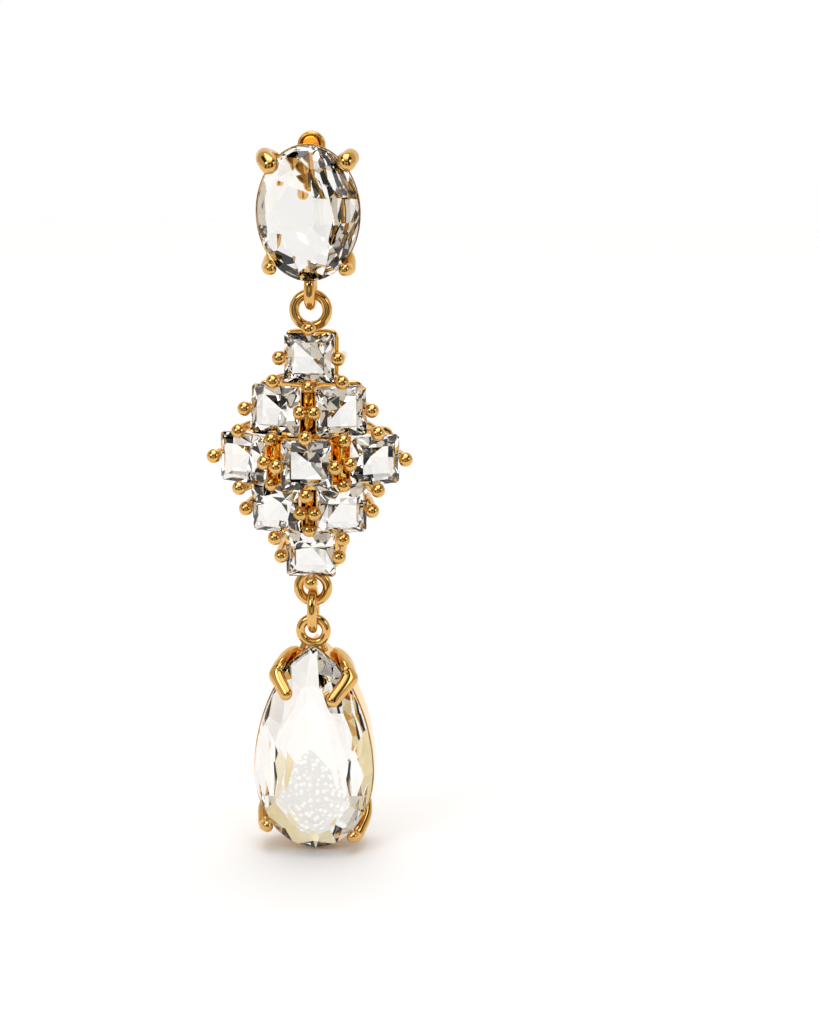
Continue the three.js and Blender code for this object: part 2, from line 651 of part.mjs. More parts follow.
// Pear stone and its setting
const pearCut = {
  width: PEAR_WIDTH,
  crown: PEAR_CROWN,
  crownTilt: PEAR_CROWN_TILT,
  girdle: PEAR_GIRDLE,
  pavilion: PEAR_PAVILION,
  breakTilt: PEAR_BREAK_TILT,
  mainTilt: PEAR_MAIN_TILT,
  mains: 10,
};
const pearSeat = {
  girdle: PEAR_GIRDLE,
  breakTilt: PEAR_BREAK_TILT,
  crownTilt: PEAR_CROWN_TILT,
  proud: PEAR_WALL_PROUD,
  wall: PEAR_WALL,
  depth: PEAR_WALL_DEPTH,
  taper: PEAR_WALL_TAPER,
};
const shoulderClaw = { ...pearSeat, wire: PEAR_CLAW_WIRE, reach: PEAR_CLAW_REACH };
const footClaw = { ...pearSeat, wire: PEAR_FOOT_CLAW_WIRE, reach: PEAR_FOOT_CLAW_REACH };
const pearWidestZ = pearPointZ - pearTopHeight;
addNode(
  "pear_setting",
  soldered([
    ...placed(
      [
        wallRound(pearEdge(), pearSeat),
        ...clawOver(mirrored(pearSideAt(pearTopHeight - PEAR_LEFT_CLAW_DROP)), shoulderClaw),
        ...clawOver(pearSideAt(pearTopHeight - PEAR_RIGHT_CLAW_DROP), shoulderClaw),
        ...clawOver(pearFootAt(radians(PEAR_LEFT_FOOT_ANGLE)), footClaw),
        ...clawOver(pearFootAt(radians(PEAR_RIGHT_FOOT_ANGLE)), footClaw),
      ],
      pearGirdleY,
      pearWidestZ,
    ),
    ...placed([ringFacingFront(PEAR_RING_SIZE, PEAR_RING_WIRE)], hangY, pearRingZ),
  ]),
  GOLD,
);
addNode("pear_stone", brilliant(pearEdge(), pearCut).translate(0, pearGirdleY, pearWidestZ), CRYSTAL);

export default root;
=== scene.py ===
# %% [markdown]
# # A long drop earring in Blender
#
# The earring has a clear oval stone at the ear, a raised diamond of nine square stones, and a pear
# stone at its foot. Everything between the stones is polished gold plating. This script dresses the
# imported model. Its plain solids could keep their place under better materials, but polished metal
# and cut glass show every flat of a coarse mesh, so each gold node is replaced by a finer surface
# and each stone by a precisely cut one.
# Lengths are written in millimetres and become metres when a mesh is made.

import bmesh
import bpy
import numpy as np
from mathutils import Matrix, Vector


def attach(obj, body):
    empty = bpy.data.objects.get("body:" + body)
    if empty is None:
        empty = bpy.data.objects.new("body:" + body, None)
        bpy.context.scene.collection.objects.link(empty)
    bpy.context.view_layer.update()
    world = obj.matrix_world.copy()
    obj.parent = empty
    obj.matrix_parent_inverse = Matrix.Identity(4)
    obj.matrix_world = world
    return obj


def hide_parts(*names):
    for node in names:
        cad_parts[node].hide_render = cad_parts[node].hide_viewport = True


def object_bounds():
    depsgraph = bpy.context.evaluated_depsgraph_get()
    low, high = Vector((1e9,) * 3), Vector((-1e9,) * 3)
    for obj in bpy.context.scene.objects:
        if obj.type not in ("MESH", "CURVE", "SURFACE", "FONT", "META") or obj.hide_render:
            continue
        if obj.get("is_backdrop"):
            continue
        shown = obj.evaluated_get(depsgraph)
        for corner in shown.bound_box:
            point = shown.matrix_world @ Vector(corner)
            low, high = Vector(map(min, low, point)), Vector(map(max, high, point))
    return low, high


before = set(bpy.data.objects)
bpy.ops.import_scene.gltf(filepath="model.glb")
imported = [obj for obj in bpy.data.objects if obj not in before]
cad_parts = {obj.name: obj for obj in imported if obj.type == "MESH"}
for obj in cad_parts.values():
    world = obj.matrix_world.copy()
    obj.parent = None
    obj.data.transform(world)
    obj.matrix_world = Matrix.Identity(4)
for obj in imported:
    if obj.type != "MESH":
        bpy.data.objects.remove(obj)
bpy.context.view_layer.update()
MM = 0.001

# %% [markdown]
# ## Sizes
#
# These repeat the part's own sizes, so that every surface lies where the model has its solid. They
# could be measured from the loaded solids, but a stone's girdle or a wire's width is no corner of a
# box, and a named size says what it is. X runs across the earring, Y to its back, Z up. A ring's
# centre is its height. A seat is the wall that holds a stone.

# %% Sizes
HANG_Y = -4.76
SEAT_GAP = 0.06

OVAL = {"half_width": 4.2, "half_height": 5.55, "crown": 1.35, "girdle": 0.3, "pavilion": 2.6}
OVAL_CENTRE = np.array([0.0, -6.37, -4.70])
OVAL_SEAT = {"depth": 2.8, "taper": 0.8, "wall": 0.5, "proud": 0.12, "crown_tilt": 36}
OVAL_SEAT["girdle"] = OVAL["girdle"]

LOOP = {"centre": -11.23, "height": 3.6, "width": 3.1, "wire": 0.92}
TOP_RING = {"centre": -13.0, "size": 3.58, "wire": 0.84}
BOTTOM_RING = {"centre": -36.78, "size": 3.28, "wire": 0.84}
JUMP_RING = {"centre": -38.74, "height": 4.1, "width": 3.4, "wire": 0.83}
PEAR_RING = {"centre": -40.585, "size": 2.97, "wire": 0.8}

PEAR = {"half_width": 5.05, "crown": 1.9, "girdle": 0.34, "pavilion": 3.0}
PEAR_TOP = 11.3
PEAR_ROUND = 6.8
PEAR_POINT_HALF = 1.95
PEAR_POINT_HEIGHT = 1.65
PEAR_AHEAD = 0.7
PEAR_BELOW_RING = 1.14
PEAR_CENTRE = np.array([0.0, HANG_Y - PEAR_AHEAD, PEAR_RING["centre"] - PEAR_BELOW_RING - PEAR_TOP])
PEAR_SEAT = {"depth": 3.5, "taper": 0.15, "wall": 0.5, "proud": 0.12, "crown_tilt": 37}
PEAR_SEAT["girdle"] = PEAR["girdle"]

SQUARE = {"half": 2.06, "corner": 0.16, "crown": 0.62, "girdle": 0.24, "table": 1.3, "pavilion": 2.2}
SQUARE_CROWN_TILT = np.arctan2(SQUARE["crown"], SQUARE["half"] - SQUARE["table"])
print("pear's middle in mm:", PEAR_CENTRE)

# %% [markdown]
# ## Surfaces from grids
#
# Every gold piece is a numpy surface: a grid of points, closed where the piece is closed. Joining
# primitives with booleans would be quicker to write, but their seams break up a polished highlight.
# A grid that runs along the piece keeps the highlight smooth. Each point also carries how deep in a
# recess it lies, which the gold's colour reads later as a share of painted bounce light.

# %% Surfaces from grids
def unit(v):
    """v over its length, along the last axis."""
    return v / np.maximum(np.linalg.norm(v, axis=-1, keepdims=True), 1e-9)


def grid_faces(rows, columns, close_rows, close_columns, start):
    """Quads between neighbours of a grid: (i, j), (i+1, j), (i+1, j+1), (i, j+1)."""
    i = np.arange(rows if close_rows else rows - 1)
    j = np.arange(columns if close_columns else columns - 1)
    i, j = np.meshgrid(i, j, indexing="ij")
    ni, nj = (i + 1) % rows, (j + 1) % columns
    quads = np.stack([i * columns + j, ni * columns + j, ni * columns + nj, i * columns + nj], -1)
    return quads.reshape(-1, 4) + start


def surface_object(name, surfaces, material, body, node):
    """One object from several grids. Each is (points in mm, rows closed, columns closed), and may
    hold a fourth thing: how deep in a recess each point lies, from 0 to 1: its painted bounce light."""
    points, faces, painted_bounce_shares, start = [], [], [], 0
    for grid, close_rows, close_columns, *painted_bounce in surfaces:
        points.append(grid.reshape(-1, 3))
        painted_bounce_shares.append(np.broadcast_to(painted_bounce[0] if painted_bounce else 0.0, grid.shape[:2]).ravel())
        faces.append(grid_faces(grid.shape[0], grid.shape[1], close_rows, close_columns, start))
        start += grid.shape[0] * grid.shape[1]
    mesh = bpy.data.meshes.new(name)
    mesh.from_pydata(np.concatenate(points) * MM, [], np.concatenate(faces).tolist())
    mesh.update()
    # Stores each point's share of painted bounce light for the gold's colour
    mesh.attributes.new("painted_bounce", "FLOAT", "POINT").data.foreach_set("value", np.concatenate(painted_bounce_shares))
    shell = bmesh.new()
    shell.from_mesh(mesh)
    bmesh.ops.recalc_face_normals(shell, faces=shell.faces)
    shell.to_mesh(mesh)
    shell.free()
    mesh.polygons.foreach_set("use_smooth", np.full(len(mesh.polygons), True))
    made = bpy.data.objects.new(name, mesh)
    bpy.context.scene.collection.objects.link(made)
    mesh.materials.append(material)
    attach(made, body)
    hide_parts(node)
    print(name, "has", len(mesh.polygons), "faces")
    return made


print("an open grid of 4 by 3 points has", len(grid_faces(4, 3, False, False, 0)), "faces")

# %% [markdown]
# ## Bars along a path
#
# The hook, the claws and the rings are all wire work: a bar bent along a line. A Blender curve with
# a bevel makes such a bar too. A sweep in numpy is used because a claw grows flatter and narrower
# along its way, and because each wire ends in a round cap, as a filed wire does. The section is a
# superellipse, which goes from round at power 2 towards square at higher powers.

# %% Bars along a path
def signed_power(value, power):
    """|value|^power with value's sign."""
    return np.sign(value) * np.abs(value) ** power


def ease(share):
    """The smooth step s^2*(3-2s), from 0 to 1."""
    return share * share * (3 - 2 * share)


def sweep(path, side, half_a, half_b, power=2.0, sides=24, closed=False):
    """A bar along a path: p + a*c*N + b*s*B, with c and s a superellipse of that power.
    N is side made square to the path, and B is square to both."""
    path = np.asarray(path, float)
    if closed:
        tangent = unit(np.roll(path, -1, axis=0) - np.roll(path, 1, axis=0))
    else:
        tangent = unit(np.gradient(path, axis=0))
    side = np.broadcast_to(np.asarray(side, float), path.shape)
    normal = unit(side - (side * tangent).sum(-1, keepdims=True) * tangent)
    across = np.cross(tangent, normal)
    angle = np.linspace(0, 2 * np.pi, sides, endpoint=False)
    c, s = signed_power(np.cos(angle), 2 / power), signed_power(np.sin(angle), 2 / power)
    half_a = np.broadcast_to(np.asarray(half_a, float), len(path))
    half_b = np.broadcast_to(np.asarray(half_b, float), len(path))
    out = normal[:, None] * (half_a[:, None] * c)[..., None]
    out = out + across[:, None] * (half_b[:, None] * s)[..., None]
    return path[:, None] + out


def smooth_path(points, count, fine=400):
    """A Catmull-Rom curve through points, sampled evenly along its length."""
    points = np.asarray(points, float)
    ends = np.concatenate([[2 * points[0] - points[1]], points, [2 * points[-1] - points[-2]]])
    t = np.linspace(0, len(points) - 1 - 1e-6, fine)
    k = t.astype(int)
    u = (t - k)[:, None]
    a, b, c, d = ends[k], ends[k + 1], ends[k + 2], ends[k + 3]
    first, second, third = c - a, 2 * a - 5 * b + 4 * c - d, 3 * b - a - 3 * c + d
    curve = 0.5 * (2 * b + first * u + second * u**2 + third * u**3)
    length = np.concatenate([[0], np.cumsum(np.linalg.norm(np.diff(curve, axis=0), axis=1))])
    even = np.linspace(0, length[-1], count)
    return np.stack([np.interp(even, length, curve[:, i]) for i in range(3)], -1)


def end_dense(path, half, extra=14):
    """The path with more points within one half width of each end, so that caps are round, with
    each point's way from the start and the whole length."""
    step = np.linalg.norm(np.diff(path, axis=0), axis=1)
    length = np.concatenate([[0], np.cumsum(step)])
    cap = half * (1 - np.cos(np.linspace(0, np.pi / 2, extra)))
    middle = np.linspace(half, length[-1] - half, len(path))
    even = np.unique(np.concatenate([cap, middle, length[-1] - cap]))
    return np.stack([np.interp(even, length, path[:, i]) for i in range(3)], -1), even, length[-1]


def round_cap(left, reach):
    """A round end's share of the full width: sqrt(1-(1-d/c)^2), d being the way left to the end
    and c the cap's own length."""
    return np.sqrt(np.clip(1 - (1 - np.clip(left / reach, 0, 1)) ** 2, 1e-6, 1))


def round_bar(points, side, half_a, half_b, count=40, sides=24, taper=None, narrow=1.0, fan=None):
    """A bar with round ends along a curve through points. taper(s) scales it, with s from 0 to 1.
    narrow scales only its width, by a smooth step from 1 over its middle half. A cap is as long as
    the smaller half width, but the wider one's cap at the far end is as long as fan, if given."""
    small = min(half_a, half_b)
    path, s, length = end_dense(smooth_path(points, count), small)
    scale = taper(s / length) if taper is not None else np.ones(len(s))
    first, last = round_cap(s, small), round_cap(length - s, small)
    width = half_a * scale * (1 + (narrow - 1) * ease(np.clip((s / length - 0.25) / 0.5, 0, 1)))
    width = width * first * (round_cap(length - s, fan) if fan else last)
    return sweep(path, side, width, half_b * scale * first * last, sides=sides), False, True


print("a bar's cap, at a quarter of its length, has", round(float(round_cap(0.25, 1.0)), 3), "of its width")

# %% [markdown]
# ## Rings and loops
#
# Five rings and loops link the stones to each other. A ring faces the front and a loop stands edge
# on, so that a ring and the loop in it cross at a right angle, as links do. A torus primitive would
# do for the rings, but not for the oval loops, so both are the same sweep round a closed path.

# %% Rings and loops
RING_STEPS = 96
RING_SIDES = 28
TURN = np.linspace(0, 2 * np.pi, RING_STEPS, endpoint=False)


def front_ring(centre, size, wire):
    """A round ring that faces the front: a circle of radius (size-wire)/2 in X and Z."""
    radius = (size - wire) / 2
    y = np.full(RING_STEPS, HANG_Y)
    path = np.stack([radius * np.cos(TURN), y, centre + radius * np.sin(TURN)], -1)
    return sweep(path, (0, 1, 0), wire / 2, wire / 2, closed=True, sides=RING_SIDES), True, True


def edge_loop(centre, height, width, wire):
    """A loop edge on to the front: an ellipse in Y and Z, with a round wire."""
    y = HANG_Y + (width - wire) / 2 * np.cos(TURN)
    z = centre + (height - wire) / 2 * np.sin(TURN)
    path = np.stack([np.zeros(RING_STEPS), y, z], -1)
    return sweep(path, (1, 0, 0), wire / 2, wire / 2, closed=True, sides=RING_SIDES), True, True


print("the oval's loop ends at", LOOP["centre"] - LOOP["height"] / 2, "mm")

# %% [markdown]
# ## Edges of the big stones
#
# The wall, the claws and the cut all follow the stone's own edge. It could be a drawn curve, but a
# formula also gives the direction straight out of the stone at each place, which all three need.
# The oval is an ellipse. The pear has a straight run at each side of its point, then a long arc,
# then half an ellipse at the foot. Its heights are measured from its widest line.

# %% Edges
PEAR_ARC_HEIGHT = PEAR_TOP - PEAR_POINT_HEIGHT
PEAR_ARC_INSET = PEAR["half_width"] - PEAR_POINT_HALF
PEAR_ARC = (PEAR_ARC_HEIGHT**2 + PEAR_ARC_INSET**2) / (2 * PEAR_ARC_INSET)


def ellipse(a, b, angle):
    """(place, outward direction) on the ellipse (a*cos t, b*sin t)."""
    at = np.stack([a * np.cos(angle), b * np.sin(angle)], -1)
    return at, unit(np.stack([np.cos(angle) / a, np.sin(angle) / b], -1))


def oval_edge(angle):
    """The oval's edge at angles round it."""
    return ellipse(OVAL["half_width"], OVAL["half_height"], angle)


def pear_foot(angle):
    """The half ellipse of the pear's foot."""
    return ellipse(PEAR["half_width"], PEAR_ROUND, angle)


def pear_side(height):
    """(place, outward direction) on the pear's right arc at a height over the widest line."""
    angle = np.arcsin(np.asarray(height, float) / PEAR_ARC)
    out = np.stack([np.cos(angle), np.sin(angle)], -1)
    return out * PEAR_ARC + np.array([PEAR["half_width"] - PEAR_ARC, 0.0]), out


def left_side(height):
    """The pear's left arc: the right one with X turned round."""
    return tuple(v * np.array([-1.0, 1.0]) for v in pear_side(height))


def pear_edge(side_steps=40, foot_steps=60, run_steps=6):
    """The whole edge against the clock, with a rounded mitre at the point."""
    side, side_out = pear_side(np.linspace(0, PEAR_ARC_HEIGHT, side_steps))
    slope = np.array([PEAR_POINT_HEIGHT, PEAR_POINT_HALF])
    slope = slope / np.linalg.norm(slope)
    run = np.linspace(0, 1, run_steps + 2)[1:-1, None]
    corner = np.array([PEAR_POINT_HALF, PEAR_ARC_HEIGHT])
    point = np.array([0.0, PEAR_TOP])
    straight = corner + (point - corner) * run
    right = np.concatenate([side, straight])
    right_out = np.concatenate([side_out, np.broadcast_to(slope, straight.shape)])
    left, left_out = right[::-1] * [-1, 1], right_out[::-1] * [-1, 1]
    foot, foot_out = pear_foot(np.linspace(np.pi, 2 * np.pi, foot_steps)[1:-1])
    mitre = np.array([[0.0, 1 / slope[1]]])
    return (
        np.concatenate([right, point[None], left, foot]),
        np.concatenate([right_out, mitre, left_out, foot_out]),
    )


oval_line = oval_edge(np.linspace(0, 2 * np.pi, 140, endpoint=False))
pear_line = pear_edge()
for title, (at, _) in (("oval", oval_line), ("pear", pear_line)):
    print(title, "edge in mm:", round(float(np.linalg.norm(at - np.roll(at, 1, 0), axis=1).sum()), 2))

# %% [markdown]
# ## Walls and claws
#
# A big stone sits on the rim of a thin wall, and claws are bent over its edge to hold it. Solidify
# on a band would make a wall, but with sharp rims. Here a small profile with soft corners goes round
# the edge, so the rim catches a line of light. A claw is a flattened bar. It rises behind the
# girdle, turns over the edge and lies on the crown's slope, which gives its end the right height.

# %% Walls and claws
# Share of painted bounce light, a warmer gold, on a stone's wall
WALL_PAINTED_BOUNCE = 0.45
WALL_SOFTENING = (0.12, 0.25, 0.25)
LIP = 0.04
LEDGE = 0.05
CLAW_TURN = np.radians(52)


def wall(edge, seat, centre):
    """A wall round a stone: a rounded profile (outside, behind) at every point of the edge. Each
    softening cuts the profile's corners at a share of its sides. All of it gets painted bounce light."""
    at, out = edge
    inside = seat["wall"] - seat["proud"]
    front = seat["girdle"] / 2 + SEAT_GAP
    profile = np.array(
        [
            [seat["proud"], front],
            [seat["proud"] - seat["taper"], front + seat["depth"]],
            [-inside - seat["taper"], front + seat["depth"]],
            [-inside, front + LEDGE + inside],
            [0.0, front + LIP],
        ]
    )
    for share in WALL_SOFTENING:
        ahead = np.roll(profile, -1, axis=0)
        near, far = profile * (1 - share) + ahead * share, profile * share + ahead * (1 - share)
        profile = np.stack([near, far], 1).reshape(-1, 2)
    x = at[None, :, 0] + out[None, :, 0] * profile[:, None, 0]
    z = at[None, :, 1] + out[None, :, 1] * profile[:, None, 0]
    y = np.broadcast_to(profile[:, None, 1], x.shape)
    return np.stack([x, y, z], -1) + centre, True, True, WALL_PAINTED_BOUNCE


def claw(
    edge, cross, root_at, seat, centre,
    thick, wide, reach, drop=0.0, root=1.0, tip=1.0, narrow=1.0, fan=None,
):
    """A claw over a stone's edge: a strap from the wall's back, past the girdle, round its corner
    and onto the crown. It crosses the edge where edge(cross) is and starts behind edge(root_at).
    drop bends the part over the crown along the edge, towards the stone's foot. root and tip scale
    it at its two ends, and reach is how far its end lies inside the edge."""
    tilt = np.radians(seat["crown_tilt"])
    clear = thick / 2 + SEAT_GAP
    rise = (clear + reach * np.sin(tilt)) / np.cos(tilt)
    girdle, depth, taper = seat["girdle"], seat["depth"], seat["taper"]
    # Each row: outside the edge, ahead of the girdle, share of the way to cross, share of the drop
    route = [
        (seat["proud"] - taper - thick / 5, -depth + thick / 2, 0.0, 0.0),
        (clear * 0.8 - taper * 0.4, -depth * 0.5, 0.45, 0.06),
        (clear, -girdle, 0.85, 0.22),
        (clear, girdle / 2, 1.0, 0.34),
        (clear * np.cos(CLAW_TURN), girdle / 2 + clear * np.sin(CLAW_TURN), 1.0, 0.60),
        (-reach, girdle / 2 + rise, 1.0, 1.0),
    ]
    points = []
    for outside, ahead, share, fall in route:
        at, out = (np.asarray(v, float) for v in edge(root_at + (cross - root_at) * share))
        down = np.array([out[1], -out[0]])
        if down[1] > 0:
            down = -down
        x, z = at + out * outside + down * drop * fall
        points.append(centre + np.array([x, -ahead, z]))
    side = np.array([down[0], 0.0, down[1]])
    scale = lambda s: root + (tip - root) * s**1.5
    return round_bar(points, side, wide / 2, thick / 2, 44, 32, scale, narrow, fan)


print("the wall's profile has", 5 * 2 ** len(WALL_SOFTENING), "points")

# %% [markdown]
# ## Writing materials in few lines
#
# A material is a tree of nodes. It could be wired by hand in the shader editor, but then it would
# not be in the script. A small helper gives a node's inputs a link or a value each, so that every
# node takes one line and a material reads from its pattern to its shader.

# %% Material helpers
def fill(tree, node, sockets):
    """Gives a node's inputs, by name or number, a link or a value each."""
    for name, value in sockets.items():
        if isinstance(value, bpy.types.NodeSocket):
            tree.links.new(value, node.inputs[name])
        else:
            node.inputs[name].default_value = value
    return node


def add_node(tree, kind, sockets):
    """A new node of a kind, with its inputs filled."""
    return fill(tree, tree.nodes.new(kind), sockets)


def noise(tree, where, scale, detail=2.0):
    """The value of a noise."""
    return add_node(
        tree, "ShaderNodeTexNoise", {"Vector": where, "Scale": scale, "Detail": detail}
    ).outputs["Fac"]


def colour_ramp(tree, value, low, high):
    """A colour by value, between two stops of (position, red, green, blue)."""
    ramp = add_node(tree, "ShaderNodeValToRGB", {"Fac": value})
    for element, stop in zip(ramp.color_ramp.elements, (low, high)):
        element.position = stop[0]
        element.color = (*stop[1:], 1)
    return ramp.outputs["Color"]


def spread(tree, value, low, high):
    """A value from 0 to 1 made one from low to high."""
    return add_node(
        tree, "ShaderNodeMapRange", {"Value": value, "To Min": low, "To Max": high}
    ).outputs["Result"]


def mixed(tree, first, second, share):
    """One colour laid over another by a share."""
    mix = tree.nodes.new("ShaderNodeMix")
    mix.data_type = "RGBA"
    return fill(tree, mix, {"A": first, "B": second, "Factor": share}).outputs["Result"]


def new_material(name):
    """(material, its tree, its shader, its object coordinates)."""
    made = bpy.data.materials.new(name)
    made.use_nodes = True
    tree = made.node_tree
    where = tree.nodes.new("ShaderNodeTexCoord").outputs["Object"]
    return made, tree, tree.nodes["Principled BSDF"], where


print("material helpers ready")

# %% [markdown]
# ## Gold
#
# The settings are cast, polished and gold plated. Polished plating is a mirror with a colour, so
# nearly all of its look comes from what it reflects. One flat yellow would look like plastic. A fine
# noise in the roughness and a very faint waviness of the surface keep the reflections from being
# those of a perfect solid. In the deep places between the stones light bounces from gold to gold,
# which makes it richer. That bounce light is painted into the colour: a per-point attribute leads
# over to a warmer gold there.

# %% Gold material
GOLD_DARK = (0.3, 0.69, 0.395, 0.11)
GOLD_LIGHT = (0.7, 0.76, 0.465, 0.16)
# Painted bounce light: a warmer, richer gold where light bounces from gold to gold
GOLD_PAINTED_BOUNCE = (0.97, 0.58, 0.12, 1)
GOLD_ROUGHNESS = (0.03, 0.09)
GOLD_WAVE = {"Strength": 0.07, "Distance": 0.00005}


def gold_material():
    """Metal with noise in its roughness, a faint bump, and painted bounce light: a warmer tone in recesses.
    """
    made, tree, shader, where = new_material("polished_gold")
    # Each point's share of painted bounce light, which leads over to the warmer gold
    depth = tree.nodes.new("ShaderNodeAttribute")
    depth.attribute_name = "painted_bounce"
    tone = colour_ramp(tree, noise(tree, where, 260.0, 3.0), GOLD_DARK, GOLD_LIGHT)
    rough = spread(tree, noise(tree, where, 1500.0, 5.0), *GOLD_ROUGHNESS)
    bump = add_node(tree, "ShaderNodeBump", {"Height": noise(tree, where, 700.0), **GOLD_WAVE})
    sockets = {
        "Metallic": 1.0,
        "Base Color": mixed(tree, tone, GOLD_PAINTED_BOUNCE, depth.outputs["Fac"]),
        "Roughness": rough,
        "Normal": bump.outputs["Normal"],
    }
    fill(tree, shader, sockets)
    return made


gold = gold_material()
print("gold has", len(gold.node_tree.nodes), "nodes")

# %% [markdown]
# ## Ear hook
#
# A small rounded plate with a raised rim shows over the oval stone. It is soldered to a plain wire
# that goes over the lobe and down behind it. A bevelled box could stand for the plate, but it has no
# dish. Here its outline is drawn in towards its middle in steps, which gives the back, the raised
# rim and the dished face in one surface. The wire is a bar through points on half a circle.

# %% Ear hook
HOOK_WIRE = 0.9
LOBE_ROOM = 5.0
HOOK_LEG = 1.8
HOOK_FLARE = 0.7
PLATE_RISE = 1.5
PLATE_WIDTH = 2.3
PLATE_THICKNESS = 0.8
PLATE_LENGTH = 4.4


def hook_plate(steps=40):
    """Rows of a rounded outline: back middle, back edge, rim, dished front."""
    half = PLATE_WIDTH / 2
    top, foot = PLATE_RISE - half, PLATE_RISE - PLATE_LENGTH + half
    arc = np.linspace(0, np.pi, steps)
    upper = np.stack([np.cos(arc), np.sin(arc)], -1)
    outline = np.concatenate([upper, -upper])
    middle = np.concatenate([np.tile([0.0, top], (steps, 1)), np.tile([0.0, foot], (steps, 1))])
    back = -LOBE_ROOM / 2
    front = back - PLATE_THICKNESS
    # Each row: the outline's radius there, and its place in Y
    rows = [
        (0.02, back),
        (half * 0.86, back),
        (half * 0.97, back - 0.06),
        (half, back - 0.18),
        (half, front + 0.18),
        (half * 0.975, front + 0.06),
        (half * 0.91, front),
        (half * 0.83, front + 0.02),
        (half * 0.76, front + 0.16),
        (half * 0.5, front + 0.24),
        (0.02, front + 0.26),
    ]
    grid = []
    for radius, y in rows:
        place = middle + outline * radius
        grid.append(np.stack([place[:, 0], np.full(2 * steps, y), place[:, 1]], -1))
    return np.stack(grid), False, True


def hook_wire():
    """Wire over the lobe: up behind the plate, half a circle, and a leg with a flared end."""
    crown = (LOBE_ROOM + HOOK_WIRE) / 2
    crown_z = HOOK_WIRE / 2 - crown
    arc = np.radians(np.linspace(180, 0, 13))
    points = [(0, -crown, crown_z - HOOK_WIRE)]
    points += [(0, crown * np.cos(a), crown_z + crown * np.sin(a)) for a in arc]
    points += [(0, crown, crown_z - HOOK_LEG + HOOK_WIRE)]
    points += [(0, crown + HOOK_FLARE, crown_z - HOOK_LEG - HOOK_FLARE)]
    return round_bar(points, (1, 0, 0), HOOK_WIRE / 2, HOOK_WIRE / 2, count=110)


surface_object("ear_hook_gold", [hook_plate(), hook_wire()], gold, "top", "ear_hook")

# %% [markdown]
# ## Oval setting
#
# The oval sits on the rim of its wall. Two fat claws hold it above and two slimmer ones below. The
# loop that carries the diamond is soldered under the wall, edge on to the front. All of it is one
# casting, so it is one object: its surfaces run into each other, as solder joints do.

# %% Oval setting
UP = np.radians(47.5)
LOW_SPREAD = 0.15
fat_claw = {"thick": 1.5, "wide": 1.6, "root": 0.75, "tip": 1.04, "drop": 0.1}
slim_claw = {"thick": 1.08, "wide": 1.1, "reach": 0.02, "root": 0.85, "tip": 1.06, "drop": 0.25}
oval_surfaces = [
    wall(oval_line, OVAL_SEAT, OVAL_CENTRE),
    claw(oval_edge, UP, UP, OVAL_SEAT, OVAL_CENTRE, reach=0.1, **fat_claw),
    claw(oval_edge, np.pi - UP, np.pi - UP, OVAL_SEAT, OVAL_CENTRE, reach=0.5, **fat_claw),
    claw(oval_edge, -UP, LOW_SPREAD - UP, OVAL_SEAT, OVAL_CENTRE, **slim_claw),
    claw(oval_edge, UP - np.pi, UP - np.pi - LOW_SPREAD, OVAL_SEAT, OVAL_CENTRE, **slim_claw),
    edge_loop(**LOOP),
]
surface_object("oval_setting_gold", oval_surfaces, gold, "top", "oval_setting")

# %% [markdown]
# ## Where the nine stones stand
#
# The stones of the diamond stand on a shallow dome, so each one is turned a little outwards. Nine
# turned objects would be the usual way. Here one rotation is worked out for each stone and put into
# the points themselves, so that a stone, its rail and its prongs always turn together, and every
# object stays at the origin.

# %% Where the nine stones stand
CLUSTER_Z = -25.04
COLUMN_STEP = 2.74
ROW_STEP = 4.17
DOME_DEPTH = 3.0
HANG_BEHIND = 1.5
SIDE_LEAN = 24.0
END_LEAN = 8.0
# Each stone: column, row, then its shares of the dome's depth, of the side lean and of the end lean
DIAMOND = [
    (0, 2, 1.0, 0.0, 1.0),
    (-1, 1, 0.62, -0.62, 0.85),
    (1, 1, 0.62, 0.62, 0.85),
    (-2, 0, 0.72, -1.0, 0.0),
    (0, 0, 0.0, 0.0, 0.0),
    (2, 0, 0.72, 1.0, 0.0),
    (-1, -1, 0.62, -0.62, -0.85),
    (1, -1, 0.62, 0.62, -0.85),
    (0, -2, 1.0, 0.0, -1.0),
]
# Where the painted bounce light begins behind a stone's girdle, and how far it takes to grow full
PAINTED_BOUNCE_FROM = -0.4
PAINTED_BOUNCE_RUN = 1.0


def standing(stone):
    """(rotation, place) of a stone: leaned up or down about X, then turned sideways about Z."""
    column, row, back, side, end = stone
    a, b = -np.radians(end * END_LEAN), np.radians(side * SIDE_LEAN)
    lean = np.array([[1, 0, 0], [0, np.cos(a), -np.sin(a)], [0, np.sin(a), np.cos(a)]])
    turn = np.array([[np.cos(b), -np.sin(b), 0], [np.sin(b), np.cos(b), 0], [0, 0, 1]])
    y = HANG_Y - HANG_BEHIND - DOME_DEPTH * (1 - back)
    return turn @ lean, np.array([column * COLUMN_STEP, y, CLUSTER_Z + row * ROW_STEP])


def heading(degrees):
    """(cos, sin) of a direction across a stone."""
    return np.cos(np.radians(degrees)), np.sin(np.radians(degrees))


def inner(stone, across):
    """Whether a side of a stone faces a gap inside the diamond, |column| + |row| being at most 2."""
    c, s = heading(across)
    return abs(stone[0] + round(c)) + abs(stone[1] + round(s)) <= 2


def placed(surface, stone, painted_bounce=0.0):
    """A surface from a stone's own frame to where the stone stands. Its part behind the girdle gets
    as much painted bounce light, a warmer gold, as said."""
    rotation, place = standing(stone)
    grid, close_rows, close_columns = surface
    behind = np.clip((grid[..., 1] - PAINTED_BOUNCE_FROM) / PAINTED_BOUNCE_RUN, 0, 1)
    return grid @ rotation.T + place, close_rows, close_columns, painted_bounce * behind


print("sides that face a gap:", sum(inner(s, a) for s in DIAMOND for a in (0, 90, 180, 270)))

